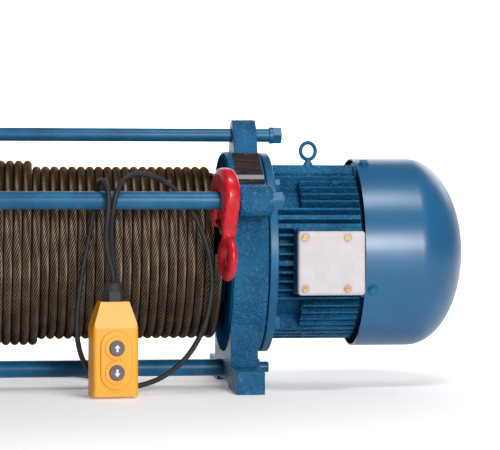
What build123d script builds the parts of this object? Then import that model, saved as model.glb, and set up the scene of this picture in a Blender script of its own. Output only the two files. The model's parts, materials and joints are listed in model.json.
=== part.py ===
from build123d import *
from math import acos, atan2, cos, hypot, pi, radians, sin, sqrt, tan
import os

os.makedirs("parts", exist_ok=True)

# Electric wire rope winch: two cast end frames held apart by four tie rods, a rope
# drum between them, a fan cooled motor on the right and a gearbox on the left.
# X runs along the drum axis towards the motor, Y runs to the back, Z is up.
# The origin is the middle of the four foot bolts, on the floor.

# End frames
foot_spacing = 480.0
drum_axis_height = 196.5
foot_width = 40.5
foot_length = 374.0
foot_height = 33.6
foot_relief_length = 150.0
foot_relief_height = 7.0
foot_bolt_spacing = 294.0
foot_bolt_hole_r = 7.0
leg_width = 216.0
frame_r = 150.0
frame_depth = 53.0
rim_lip = 3.0
rim_wall = 3.5
rim_recess = 10.0
web_thickness = 12.0
face_ring_width = 22.0
hub_r = 60.0
hub_reach = 14.0
edge_round = 8.0

# Tie rods and the lobes that hold them
top_rod_r = 10.0
top_rod_height = 174.0
side_rod_r = 12.5
side_rod_out = 180.0
side_rod_height = 76.0
bottom_rod_drop = 171.5
rod_clearance = 0.3
top_lobe_r = 23.5
top_lobe_root = 80.0
top_lobe_thickness = 36.0
top_lobe_offset = 13.0
side_lobe_r = 22.5
facet_top_out = 45.0
facet_top_height = 147.5
facet_knee_out = 130.0
facet_knee_height = 99.0
lobe_top_sink = 1.5
top_rod_proud = 21.0
rod_stud_r = 8.0
rod_stud_proud = 3.0
bottom_stud_proud = 14.0
nut_flat = 24.0
nut_thickness = 12.0
washer_r = 15.0
washer_thickness = 2.5
bolt_head_thickness = 13.0
spring_washer_r = 12.5
spring_washer_thickness = 2.6

# Drum, rope and the bearings of the drum
flange_gap = 1.0
flange_stand_out = 1.75
flange_thickness = 8.0
barrel_r = 76.0
barrel_wall = 8.0
drum_bearing_r = 45.0
drum_bearing_width = 20.0
journal_r = 25.0
journal_bore_r = 16.0
running_clearance = 0.05
seat_gap = 0.3
rope_d = 13.0
rope_pitch = 13.0
rope_layer_step = 8.5
rope_outer_r = 127.5
rope_top_layer_end = -55.0
rope_end_gap = 4.0

# Motor
motor_flange_thickness = 12.0
motor_flange_r = frame_r - 2.0
spigot_depth = 5.0
flange_bolt_circle_r = frame_r - 10.0
flange_bolt_flat = 16.0
flange_bolt_head = 7.0
flange_bolt_r = 5.0
housing_length = 123.0
housing_r = 104.0
housing_wall = 7.0
fin_count = 60
fin_tip_r = 129.0
fin_thickness = 3.0
wide_rib_thickness = 7.0
pad_width = 104.0
stator_length = 90.0
stator_bore_r = 60.0
air_gap = 0.4
winding_reach = 9.0
winding_thickness = 26.0
shaft_r = 12.5
fan_shaft_r = 10.0
rear_shield_thickness = 9.0
front_bearing_r = 26.0
front_bearing_width = 15.0
rear_bearing_r = 23.5
rear_bearing_width = 14.0

# Fan and its cowl
cowl_gap = 4.0
cowl_r = 140.0
cowl_wall = 1.8
cowl_straight = 84.0
cowl_dome = 82.0
cowl_screw_angle = -22.0
cowl_screw_inset = 12.0
intake_slots = 12
fan_r = 118.0
fan_blades = 7
fan_hub_r = 22.0

# Terminal box on the front of the motor
box_width = 96.0
box_height = 91.0
box_drop = 12.7
box_face_out = 168.0
box_wall = 4.0
box_foot_out = 124.0
cover_thickness = 12.0
box_rise = 5.0
cover_corner_r = 5.0
cover_screw_inset = 9.0
cover_screw_far_inset = 26.0
gasket_thickness = 1.5

# Eye bolt, plate, hook and latch
eye_bolt_offset = 64.0
eye_ring_r = 12.4
eye_bar_r = 3.0
eye_height = 22.0
eye_shank_r = 4.0
eye_collar_r = 8.5
eye_turn = 19.0
plate_width = 39.0
plate_length = 91.0
plate_thickness = 1.0
rivet_r = 2.2
hook_x = 203.0
hook_turn = 11.5
hook_thickness = 20.0
hook_edge = 4.0
hook_ring_middle = (2.5, 4.5)
hook_ring_r = 40.5
hook_tip_round = 4.8
hook_neck_round = 30.0
hook_end_round = 7.0
touching = 0.1
hook_eye_out = 14.0
hook_eye_drop = 80.0
hook_eye_r = 23.9
hook_eye_bar = 16.8
hook_eye_thickness = 10.0
hook_eye_round = 4.6
latch_thickness = 1.6
latch_pin_r = 2.5
latch_ear_r = 5.0
latch_ear_length = 15.0
latch_ear_width = 8.0
latch_bar_start = 13.0
latch_swing_room = 14.0

# Gear train
gear_module = 2.8
sun_teeth = 12
idler_teeth = 36
idler_pinion_teeth = 12
ring_teeth = 60
gear_count = 3
addendum_share = 0.8
dedendum_share = 1.05
pressure_angle = 20.0
backlash = 0.5
ring_start = 40.0
ring_width = 20.0
gear_gap = 4.0
idler_width = 14.0
ring_rim = 12.0
axle_r = 7.0
cover_depth = 62.0
gearbox_wall = 7.0
cover_bolt_flat = 13.0
cover_bolt_r = 4.0
cover_bolt_count = 8
cover_rib_count = 8
plug_r = 8.0

# Control box at the back of the left end frame
control_box_width = 90.0
control_box_height = 120.0
control_box_depth = 58.0
control_box_wall = 3.0
control_box_lid = 10.0
control_box_z = 112.0
control_gland_r = 11.0
control_gland_length = 24.0

# Pendant control station
pendant_x = 46.0
pendant_y = -200.0
pendant_floor_gap = 3.0
pendant_height = 130.0
pendant_width = 63.0
pendant_top_width = 40.0
pendant_taper = 36.0
pendant_depth = 44.0
pendant_top_depth = 30.0
pendant_split = 16.0
pendant_turn = 8.0
pendant_wall = 2.5
pill_width = 44.0
pill_length = 81.0
pill_height = 3.0
pill_drop = 80.0
button_r = 10.5
button_spacing = 33.7
button_travel = 4.0
button_proud = 3.0
button_gap = 0.3
collar_r = 16.0
collar_height = 2.5
pendant_gland_r = 15.5
pendant_gland_length = 26.0
cable_r = 3.75

# Places worked out from the sizes above
axis_z = drum_axis_height
inner_x = (foot_spacing - foot_width) / 2
outer_x = inner_x + frame_depth
top_rod_z = axis_z + top_rod_height
side_rod_z = axis_z + side_rod_height
bottom_rod_z = axis_z - bottom_rod_drop
face_ring_r = frame_r - face_ring_width
recess_r = frame_r - rim_wall
flange_r = recess_r - flange_gap
drum_end_x = inner_x - flange_stand_out
rope_end_x = drum_end_x - rope_end_gap
motor_x = outer_x + motor_flange_thickness
housing_end_x = motor_x + housing_length
cowl_x = housing_end_x + cowl_gap
cowl_end_x = cowl_x + cowl_straight + cowl_dome


def along_x(radius, start, end, y=0.0, z=0.0):
    """A round bar along X."""
    bar = Cylinder(radius, end - start, rotation=(0, 90, 0))
    return Pos((start + end) / 2, y, z) * bar


def tube_x(outer, inner, start, end, y=0.0, z=0.0):
    """A ring or tube along X."""
    return along_x(outer, start, end, y, z) - along_x(inner, start - 1, end + 1, y, z)


def block(x0, x1, y0, y1, z0, z1):
    """A box between two corners."""
    box = Box(x1 - x0, y1 - y0, z1 - z0)
    return Pos((x0 + x1) / 2, (y0 + y1) / 2, (z0 + z1) / 2) * box


def turned(points, y=0.0, z=axis_z):
    """A solid turned about X from points given as (x, radius)."""
    profile = make_face(Polyline(*points, close=True))
    return Pos(0, y, z) * revolve(profile, Axis.X, 360)


def slab_x(sketch, start, end, z=axis_z):
    """A sketch drawn in (Y, Z) about the drum axis, extruded from start to end along X."""
    plane = Plane(origin=(start, 0, z), x_dir=(0, 1, 0), z_dir=(1, 0, 0))
    return extrude(plane * sketch, end - start)


def hex_x(flat, start, end, y=0.0, z=0.0):
    """A hexagonal bar along X, given across its flats."""
    return Pos(0, y, 0) * slab_x(RegularPolygon(flat / 2, 6, major_radius=False), start, end, z)


def around(shape, angle, z=axis_z):
    """The shape turned about the drum axis."""
    return Pos(0, 0, z) * Rot(angle, 0, 0) * Pos(0, 0, -z) * shape


def write(shapes, name):
    """One file for each node."""
    solids = shapes if isinstance(shapes, list) else [shapes]
    pieces = [solid for shape in solids for solid in shape.solids()]
    export_step(pieces[0] if len(pieces) == 1 else Compound(children=pieces), "parts/" + name + ".step")


def cast_outline():
    """The casting seen along the drum axis: round body, two side lobes with their facets."""
    outline = Circle(frame_r)
    for side in (-1, 1):
        lobe_y = side * side_rod_out
        lobe_top = (lobe_y, side_rod_height + side_lobe_r - lobe_top_sink)
        lobe_foot = (lobe_y, side_rod_height - side_lobe_r)
        facet_top = (side * facet_top_out, facet_top_height)
        facet_knee = (side * facet_knee_out, facet_knee_height)
        root = (side * frame_r / 2, side_rod_height - side_lobe_r)
        outline += Pos(lobe_y, side_rod_height) * Circle(side_lobe_r)
        outline += make_face(Polyline(facet_top, facet_knee, lobe_top, lobe_foot, root, close=True))
    return outline


def end_frame():
    """One cast end frame, drawn at the motor end."""
    t = inner_x
    body = turned([
        (t, recess_r), (t, frame_r), (outer_x - edge_round, frame_r),
        (outer_x - edge_round / 4, frame_r - edge_round / 4), (outer_x, frame_r - edge_round),
        (outer_x, face_ring_r), (t + rim_recess + web_thickness, face_ring_r),
        (t + rim_recess + web_thickness, hub_r),
        (t + rim_recess + web_thickness + hub_reach, hub_r),
        (t + rim_recess + web_thickness + hub_reach, drum_bearing_r),
        (t + rim_recess, drum_bearing_r), (t + rim_recess, recess_r),
    ])
    bore = Pos(0, 0, axis_z) * along_x(frame_r - edge_round / 2, t - 1, outer_x + 1)
    lobes = slab_x(cast_outline(), t + rim_lip, outer_x - rim_lip) - bore
    ear_sketch = make_hull((Pos(0, top_rod_height) * Circle(top_lobe_r)
                            + Pos(0, frame_r - 6) * Rectangle(top_lobe_root, 8)).edges())
    ear = slab_x(ear_sketch, t + top_lobe_offset, t + top_lobe_offset + top_lobe_thickness)
    leg = block(t, t + foot_width, -leg_width / 2, leg_width / 2, foot_height / 2, axis_z - frame_r * 0.6)
    leg -= bore
    foot = block(t, t + foot_width, -foot_length / 2, foot_length / 2, 0, foot_height)
    foot = fillet(foot.edges().filter_by(Axis.X).group_by(Axis.Z)[-1], 5.0)
    foot -= block(t - 1, t + foot_width + 1, -foot_relief_length / 2, foot_relief_length / 2,
                  -1, foot_relief_height)
    casting = body + lobes + ear + leg + foot
    for side in (-1, 1):
        casting -= along_x(rod_stud_r + rod_clearance, t - 1, outer_x + 1, side * side_rod_out, side_rod_z)
        casting -= Pos(t + foot_width / 2, side * foot_bolt_spacing / 2, foot_height / 2) * Cylinder(
            foot_bolt_hole_r, foot_height * 2)
    casting -= along_x(top_rod_r + rod_clearance, t - 1, outer_x + 1, 0, top_rod_z)
    casting -= along_x(rod_stud_r + rod_clearance, t - 1, t + foot_width + 1, 0, bottom_rod_z)
    return casting


right_frame = end_frame()


def tie_rod(radius, shoulder_x, reach_x, y, z):
    """A tie rod with a stud at each end, long enough for a washer, a nut and a few threads."""
    rod = along_x(radius, -shoulder_x, shoulder_x, y, z)
    stud = along_x(rod_stud_r, -reach_x, reach_x, y, z)
    stud = chamfer(stud.edges().filter_by(GeomType.CIRCLE), 1.0)
    return rod + stud


def hex_nut(start, y, z):
    """A nut on a stud, with its corners turned off."""
    nut = hex_x(nut_flat, start, start + nut_thickness, y, z)
    corner_r = nut_flat / sqrt(3)
    dress = turned([(start, 0), (start, corner_r - 1), (start + 1, corner_r),
                    (start + nut_thickness - 1, corner_r), (start + nut_thickness, corner_r - 1),
                    (start + nut_thickness, 0)], y, z)
    return (nut & dress) - along_x(rod_stud_r, start - 1, start + nut_thickness + 1, y, z)


def both_ends(shape):
    """The shape at the motor end and its mirror image at the gear end."""
    return [shape, mirror(shape, Plane.YZ)]


lobe_face_x = outer_x - rim_lip
side_reach_x = lobe_face_x + washer_thickness + nut_thickness + rod_stud_proud
bottom_reach_x = inner_x + foot_width + washer_thickness + nut_thickness + bottom_stud_proud
nut_places = [(lobe_face_x, -side_rod_out, side_rod_z), (lobe_face_x, side_rod_out, side_rod_z),
              (inner_x + foot_width, 0.0, bottom_rod_z)]

write(tie_rod(side_rod_r, inner_x + rim_lip, side_reach_x, -side_rod_out, side_rod_z), "front_tie_rod")
write(tie_rod(side_rod_r, inner_x + rim_lip, side_reach_x, side_rod_out, side_rod_z), "back_tie_rod")
write(tie_rod(side_rod_r, inner_x, bottom_reach_x, 0, bottom_rod_z), "bottom_tie_rod")

nuts = []
washers = []
for face_x, rod_y, rod_z in nut_places:
    washers += both_ends(tube_x(washer_r, rod_stud_r, face_x, face_x + washer_thickness, rod_y, rod_z))
    nuts += both_ends(hex_nut(face_x + washer_thickness, rod_y, rod_z))
write(nuts, "tie_rod_nuts")
write(washers, "tie_rod_washers")

# The top rod runs through both ears and is stopped by a bolt and two washers at each end
top_end_x = inner_x + top_lobe_offset + top_lobe_thickness + top_rod_proud
top_rod = along_x(top_rod_r, -top_end_x, top_end_x, 0, top_rod_z)
top_rod = chamfer(top_rod.edges().filter_by(GeomType.CIRCLE), 0.8)
top_thread_depth = 30.0
top_thread_r = 6.0
for side in (-1, 1):
    thread_ends = sorted((side * (top_end_x + 1), side * (top_end_x - top_thread_depth)))
    top_rod -= along_x(top_thread_r, thread_ends[0], thread_ends[1], 0, top_rod_z)
write(top_rod, "top_tie_rod")

split_gap = 2.0
spring_washers = []
for start in (top_end_x, top_end_x + spring_washer_thickness):
    washer = tube_x(spring_washer_r, top_thread_r, start, start + spring_washer_thickness, 0, top_rod_z)
    washer -= block(start - 1, start + spring_washer_thickness + 1, -split_gap / 2, split_gap / 2,
                    top_rod_z, top_rod_z + spring_washer_r + 1)
    spring_washers += both_ends(washer)
write(spring_washers, "top_rod_spring_washers")
head_x = top_end_x + 2 * spring_washer_thickness
top_bolt = hex_x(nut_flat, head_x, head_x + bolt_head_thickness, 0, top_rod_z)
top_bolt &= turned([(head_x, 0), (head_x, nut_flat / 2), (head_x + 0.4, nut_flat / sqrt(3)),
                    (head_x + bolt_head_thickness - 2, nut_flat / sqrt(3)),
                    (head_x + bolt_head_thickness, nut_flat / 2 - 0.5),
                    (head_x + bolt_head_thickness, 0)], 0, top_rod_z)
top_bolt += along_x(top_thread_r, top_end_x - top_thread_depth + 3, head_x + 1, 0, top_rod_z)
write(both_ends(top_bolt), "top_rod_bolts")

# Drum: barrel with a flange and a hollow journal at each end, in one turned piece
bearing_x = inner_x + rim_recess
journal_end_x = bearing_x + drum_bearing_width + web_thickness
flange_back_x = drum_end_x + flange_thickness
drum_r = journal_r - running_clearance
drum = turned([
    (-drum_end_x, barrel_r), (-drum_end_x, flange_r), (-flange_back_x, flange_r),
    (-flange_back_x, drum_r), (-journal_end_x, drum_r), (-journal_end_x, journal_bore_r),
    (-drum_end_x + flange_thickness, journal_bore_r),
    (-drum_end_x + flange_thickness, barrel_r - barrel_wall),
    (drum_end_x - flange_thickness, barrel_r - barrel_wall),
    (drum_end_x - flange_thickness, journal_bore_r), (journal_end_x, journal_bore_r),
    (journal_end_x, drum_r), (flange_back_x, drum_r), (flange_back_x, flange_r),
    (drum_end_x, flange_r), (drum_end_x, barrel_r),
])
write(drum, "rope_drum")

bearing_groove = 1.5
bearing_edge = 4.0


def bearing(start, width, bore, outer):
    """A closed ball bearing: its rings and the shallow groove of the shield at each face."""
    end = start + width
    return turned([
        (start, bore), (start, bore + bearing_edge), (start + bearing_groove, bore + bearing_edge),
        (start + bearing_groove, outer - bearing_edge), (start, outer - bearing_edge), (start, outer),
        (end, outer), (end, outer - bearing_edge), (end - bearing_groove, outer - bearing_edge),
        (end - bearing_groove, bore + bearing_edge), (end, bore + bearing_edge), (end, bore),
    ])


drum_bearing = bearing(bearing_x + 2, drum_bearing_width, journal_r, drum_bearing_r)
write(both_ends(drum_bearing), "drum_bearings")


def rope_pack():
    """The rope as it lies on the drum: one rounded ridge for each wrap, one more layer at the left."""
    groove = rope_d / 4
    wraps = int(2 * rope_end_x / rope_pitch)
    start = -wraps * rope_pitch / 2
    points = [(start, barrel_r)]
    for wrap in range(wraps):
        left = start + wrap * rope_pitch
        crest = rope_outer_r + (rope_layer_step if left < rope_top_layer_end else 0)
        points += [(left, crest - groove), (left + rope_pitch / 3, crest),
                   (left + 2 * rope_pitch / 3, crest)]
        step_down = left < rope_top_layer_end <= left + rope_pitch
        if step_down:
            points.append((left + rope_pitch, crest - groove))
    points += [(-start, rope_outer_r - groove), (-start, barrel_r)]
    return turned(points)


write(rope_pack(), "wire_rope")


def at_angles(angles, radius):
    """Places on a circle about the drum axis, with angles counted from the back upwards."""
    return [(radius * cos(radians(a)), axis_z + radius * sin(radians(a))) for a in angles]


def hex_bolt(head_start, head_end, tip, flat, shank, y, z):
    """A hexagon bolt along X, with its head at the right."""
    head = hex_x(flat, head_start, head_end, y, z)
    head &= turned([(head_start, 0), (head_start, flat / sqrt(3)), (head_end - 1, flat / sqrt(3)),
                    (head_end, flat / 2), (head_end, 0)], y, z)
    return head + along_x(shank, tip, head_start + 1, y, z)


# Motor flange: a disc with a spigot in the end frame, and the seat of the front bearing
flange_bolt_angles = [45, 135, 225, 315]
seat_wall = 6.0
front_bearing_x = outer_x
motor_flange = turned([
    (outer_x - spigot_depth, face_ring_r - seat_gap), (outer_x, face_ring_r - seat_gap),
    (outer_x, motor_flange_r - 1), (outer_x + 1, motor_flange_r), (motor_x - 1, motor_flange_r),
    (motor_x, motor_flange_r - 1), (motor_x, front_bearing_r + seat_wall),
    (front_bearing_x + front_bearing_width, front_bearing_r + seat_wall),
    (front_bearing_x + front_bearing_width, front_bearing_r), (front_bearing_x, front_bearing_r),
    (front_bearing_x, shaft_r + 2), (outer_x - spigot_depth, shaft_r + 2),
])
flange_bolts = []
bolt_reach = 20.0
for bolt_y, bolt_z in at_angles(flange_bolt_angles, flange_bolt_circle_r):
    motor_flange -= along_x(flange_bolt_r + rod_clearance, outer_x - 1, motor_x + 1, bolt_y, bolt_z)
    right_frame -= along_x(flange_bolt_r, outer_x - bolt_reach, outer_x + 1, bolt_y, bolt_z)
    flange_bolts.append(hex_bolt(motor_x, motor_x + flange_bolt_head, outer_x - bolt_reach + 4,
                                 flange_bolt_flat, flange_bolt_r, bolt_y, bolt_z))
write(right_frame, "right_end_frame")
write(motor_flange, "motor_flange")
write(flange_bolts, "flange_bolts")
front_bearing = bearing(front_bearing_x, front_bearing_width, shaft_r, front_bearing_r)


wide_ribs = (11, 12, 16, 44, 48, 49)


def fin_ring():
    """The housing seen along its axis: a barrel with radial fins and a wide pad on top."""
    ring = Circle(housing_r)
    fin_length = fin_tip_r - housing_r + 4
    fin_middle = fin_tip_r - fin_length / 2
    for fin in range(fin_count):
        thickness = wide_rib_thickness if fin in wide_ribs else fin_thickness
        fin_profile = Pos(fin_middle, 0) * Rectangle(fin_length, thickness)
        ring += Rot(0, 0, 90 + fin * 360 / fin_count) * fin_profile
    pad_height = fin_tip_r - housing_r / 2
    ring += Pos(0, fin_tip_r - pad_height / 2) * Rectangle(pad_width, pad_height)
    return ring


box_middle_x = motor_x + 25.0 + box_width / 2
box_z = axis_z - box_drop
box_x0 = box_middle_x - box_width / 2
box_x1 = box_middle_x + box_width / 2
pocket_length = 40.0
pocket_width = 44.0
wire_hole_r = 9.0
bore_r = housing_r - housing_wall

housing = slab_x(fin_ring(), motor_x, housing_end_x)
box_z0, box_z1 = box_z - box_height / 2, box_z + box_height / 2 + box_rise
box_seat = block(box_x0, box_x1, -box_foot_out, -housing_r / 2, box_z0, box_z1)
housing -= block(box_x0, box_x1, -frame_r, -box_foot_out, box_z0, box_z1)
housing += box_seat
pocket = block(motor_x - 1, motor_x + pocket_length, housing_r, frame_r, axis_z - pocket_width / 2,
               axis_z + pocket_width / 2)
for angle in flange_bolt_angles:
    housing -= around(pocket, angle)
housing -= along_x(bore_r, motor_x - 1, housing_end_x + 1, 0, axis_z)
wire_hole = Pos(box_middle_x, -housing_r, box_z) * Cylinder(wire_hole_r, housing_r, rotation=(90, 0, 0))
housing -= wire_hole
eye_x = motor_x + eye_bolt_offset
housing -= Pos(eye_x, 0, axis_z + fin_tip_r) * Cylinder(eye_shank_r, 30)
write(housing, "motor_housing")

# Stator, rotor and shaft
stator_x = motor_x + (housing_length - stator_length) / 2
stator_end_x = stator_x + stator_length
stator_slots = 24
slot_depth = 20.0
slot_width = 6.0
stator_ring = Circle(bore_r) - Circle(stator_bore_r)
for slot in range(stator_slots):
    stator_ring -= Rot(0, 0, slot * 360 / stator_slots) * Pos(stator_bore_r + slot_depth / 2 - 1, 0) * (
        Rectangle(slot_depth, slot_width))
write(slab_x(stator_ring, stator_x, stator_end_x), "stator_core")
winding_r = stator_bore_r + 4
windings = [
    tube_x(winding_r + winding_thickness, winding_r, stator_x - winding_reach, stator_x, 0, axis_z),
    tube_x(winding_r + winding_thickness, winding_r, stator_end_x, stator_end_x + winding_reach, 0, axis_z),
]
windings = [fillet(coil.edges().filter_by(GeomType.CIRCLE), 3.0) for coil in windings]
write(windings, "stator_windings")

rear_bearing_x = housing_end_x + rear_shield_thickness - rear_bearing_width
lug_r = cowl_r - cowl_wall
lug_width = 24.0
lug_reach = cowl_screw_inset * 2
rear_shield = turned([
    (housing_end_x - spigot_depth, bore_r - seat_gap), (housing_end_x, bore_r - seat_gap),
    (housing_end_x, fin_tip_r - 8), (housing_end_x + rear_shield_thickness, fin_tip_r - 14),
    (housing_end_x + rear_shield_thickness, rear_bearing_r),
    (rear_bearing_x, rear_bearing_r), (rear_bearing_x, rear_bearing_r + seat_wall),
    (housing_end_x - spigot_depth, rear_bearing_r + seat_wall + 6),
])
lug = block(housing_end_x, cowl_x + lug_reach, fin_tip_r - 30, cowl_r, axis_z - lug_width / 2,
            axis_z + lug_width / 2)
lug -= block(housing_end_x + rear_shield_thickness + 3, cowl_x + lug_reach + 1, 0, fin_tip_r - 12,
             0, axis_z * 2)
cowl_screw_angles = [180 - cowl_screw_angle + 90 * quarter for quarter in range(4)]
for angle in cowl_screw_angles:
    rear_shield += around(lug, angle)
rear_shield &= along_x(lug_r, housing_end_x - spigot_depth - 1, cowl_end_x, 0, axis_z)
cowl_screw_r = 3.0
cowl_screw_x = cowl_x + cowl_screw_inset
screw_hole = Pos(cowl_screw_x, cowl_r - 6, axis_z) * Cylinder(cowl_screw_r, 30, rotation=(90, 0, 0))
for angle in cowl_screw_angles:
    rear_shield -= around(screw_hole, angle)
write(rear_shield, "motor_rear_shield")
rear_bearing = bearing(rear_bearing_x, rear_bearing_width, fan_shaft_r, rear_bearing_r)
write([front_bearing, rear_bearing], "motor_bearings")


def spur_outline(teeth, half_gap, tip_share, root_share, turn):
    """Tooth outline about the origin: straight flanks between the root and the tip circle."""
    pitch_r = gear_module * teeth / 2
    base_r = pitch_r * cos(radians(pressure_angle))
    pitch_inv = tan(radians(pressure_angle)) - radians(pressure_angle)

    def half_tooth(radius):
        lean = acos(min(base_r / radius, 1.0))
        return pi / 2 / teeth - half_gap / pitch_r + pitch_inv - (tan(lean) - lean)

    tip_r = pitch_r + gear_module * tip_share
    root_r = pitch_r - gear_module * root_share
    points = []
    for tooth in range(teeth):
        middle = radians(turn) + tooth * 2 * pi / teeth
        for radius, side in ((root_r, -1), (tip_r, -1), (tip_r, 1), (root_r, 1)):
            angle = middle + side * half_tooth(radius)
            points.append((radius * cos(angle), radius * sin(angle)))
    return make_face(Polyline(*points, close=True))


def gear_x(s):
    """Distance outwards from the drum side of the left end frame, as a place on X."""
    return -(inner_x + s)


def gear_slab(sketch, s0, s1, y=0.0, z=0.0):
    """A gear drawn about its own centre, between two distances from the left frame's inner side."""
    return Pos(0, y, z) * slab_x(sketch, gear_x(s1), gear_x(s0))


web_s = ring_start - 3
teeth_s = ring_start + 2
ring_end_s = teeth_s + ring_width
wheel_s = ring_end_s + gear_gap
wheel_end_s = wheel_s + idler_width
cover_wall_s = frame_depth + cover_depth - gearbox_wall
centre_distance = gear_module * (sun_teeth + idler_teeth) / 2
ring_outer_r = gear_module * (ring_teeth / 2 + dedendum_share) + ring_rim
line_shaft_r = 11.0
idler_angles = [90 + 360 * gear / gear_count for gear in range(gear_count)]

# Ring gear on the left journal of the drum
ring_hollow = spur_outline(ring_teeth, -backlash / 4, dedendum_share, addendum_share, 0)
ring_gear = gear_slab(Circle(ring_outer_r) - ring_hollow, teeth_s, ring_end_s)
ring_gear += gear_slab(Circle(ring_outer_r) - Circle(drum_r), web_s, teeth_s)
write(ring_gear, "ring_gear")

# Sun pinion on the motor shaft
sun = spur_outline(sun_teeth, backlash / 4, addendum_share, dedendum_share, 0) - Circle(line_shaft_r)
write(gear_slab(sun, wheel_s, wheel_end_s), "sun_pinion")

# Three idlers, each a wheel and a pinion in one piece on its own axle
axle_head_r = 10.0
axle_head = 2.7
idler_axles = []
for number, angle in enumerate(idler_angles):
    idler_y = centre_distance * cos(radians(angle))
    idler_z = centre_distance * sin(radians(angle))
    wheel_turn = angle + 180 + 180 / idler_teeth
    wheel = spur_outline(idler_teeth, backlash / 4, addendum_share, dedendum_share, wheel_turn)
    pinion = spur_outline(idler_pinion_teeth, backlash / 4, addendum_share, dedendum_share, angle)
    bore = Circle(axle_r + running_clearance)
    pinion_s = teeth_s + 4
    hub_s = cover_wall_s - gear_gap
    idler = gear_slab(pinion - bore, pinion_s, wheel_s, idler_y, idler_z)
    idler += gear_slab(wheel - bore, wheel_s, wheel_end_s, idler_y, idler_z)
    idler += gear_slab(Circle(axle_r * 2) - bore, wheel_end_s, hub_s, idler_y, idler_z)
    write(idler, "idler_gear_" + str(number + 1))
    axle = gear_slab(Circle(axle_r), pinion_s - seat_gap, cover_wall_s + gearbox_wall / 2, idler_y, idler_z)
    axle += gear_slab(Circle(axle_head_r), pinion_s - seat_gap - axle_head, pinion_s - seat_gap,
                      idler_y, idler_z)
    idler_axles.append(axle)
write(idler_axles, "idler_axles")

# Gearbox cover with ribs, axle bosses, a seat for the shaft's end bearing and two oil plugs
cover_inner_r = face_ring_r - 2
cover_outer_r = cover_inner_r + gearbox_wall
flange_depth = 9.0
end_bearing_r = 17.5
end_bearing_width = 10.0
end_bearing_bore = 8.5
end_boss_r = 28.0
end_boss_reach = 6.0
cap_s = frame_depth + cover_depth
cover = turned([
    (gear_x(frame_depth), cover_inner_r), (gear_x(frame_depth), motor_flange_r),
    (gear_x(frame_depth + flange_depth), motor_flange_r),
    (gear_x(frame_depth + flange_depth), cover_outer_r), (gear_x(cap_s - 14), cover_outer_r - 2),
    (gear_x(cap_s - 5), cover_outer_r - 7), (gear_x(cap_s), cover_outer_r - 16),
    (gear_x(cap_s), end_boss_r), (gear_x(cap_s + end_boss_reach), end_boss_r - 2),
    (gear_x(cap_s + end_boss_reach), 0), (gear_x(cover_wall_s + 4), 0),
    (gear_x(cover_wall_s + 4), end_bearing_r), (gear_x(cover_wall_s - end_bearing_width + 4), end_bearing_r),
    (gear_x(cover_wall_s - end_bearing_width + 4), end_boss_r - 2), (gear_x(cover_wall_s), end_boss_r),
    (gear_x(cover_wall_s), cover_inner_r - 14), (gear_x(cap_s - 14), cover_inner_r - 2),
])
rib_height = 5.0
rib_thickness = 6.0
rib = block(gear_x(cap_s + rib_height), gear_x(cap_s - 2), end_boss_r - 3, cover_outer_r - 18,
            axis_z - rib_thickness / 2, axis_z + rib_thickness / 2)
for number in range(cover_rib_count):
    cover += around(rib, (number + 0.5) * 360 / cover_rib_count)
for angle in idler_angles:
    axle_y = centre_distance * cos(radians(angle))
    axle_z = centre_distance * sin(radians(angle))
    cover -= gear_slab(Circle(axle_r), cover_wall_s - 1, cover_wall_s + gearbox_wall / 2, axle_y, axle_z)
cover_bolts = []
cover_bolt_circle_r = (cover_outer_r + motor_flange_r) / 2
for bolt_y, bolt_z in at_angles([22.5 + 360 * k / cover_bolt_count for k in range(cover_bolt_count)],
                                cover_bolt_circle_r):
    bolt = mirror(hex_bolt(outer_x + flange_depth, outer_x + flange_depth + flange_bolt_head,
                           outer_x - bolt_reach + 4, cover_bolt_flat, cover_bolt_r, bolt_y, bolt_z), Plane.YZ)
    cover_bolts.append(bolt)
    cover -= along_x(cover_bolt_r, gear_x(cap_s), gear_x(frame_depth - 1), bolt_y, bolt_z)
oil_plugs = []
plug_hex = 17.0
plug_x = gear_x(frame_depth + cover_depth / 2)
plug_up = RegularPolygon(plug_hex / 2, 6, major_radius=False)
for side in (-1, 1):
    seat_z = axis_z + side * (cover_outer_r + 4)
    boss = Pos(plug_x, 0, axis_z + side * (cover_inner_r + 5.5)) * Cylinder(plug_r + 5, 11.0)
    hole = Pos(plug_x, 0, axis_z + side * cover_outer_r) * Cylinder(plug_r, 30)
    cover = (cover + boss) - hole
    stem = Pos(plug_x, 0, seat_z - side * 5) * Cylinder(plug_r, 10)
    head = Pos(plug_x, 0, seat_z) * extrude(plug_up, side * 7)
    oil_plugs.append(stem + head)
write(cover, "gearbox_cover")
write(cover_bolts, "gearbox_cover_bolts")
write(oil_plugs, "gearbox_oil_plugs")
left_frame = mirror(end_frame(), Plane.YZ)
for bolt in cover_bolts:
    left_frame -= bolt
end_bearing = bearing(gear_x(cover_wall_s + 4), end_bearing_width, end_bearing_bore, end_bearing_r)
write(end_bearing, "shaft_end_bearing")


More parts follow.
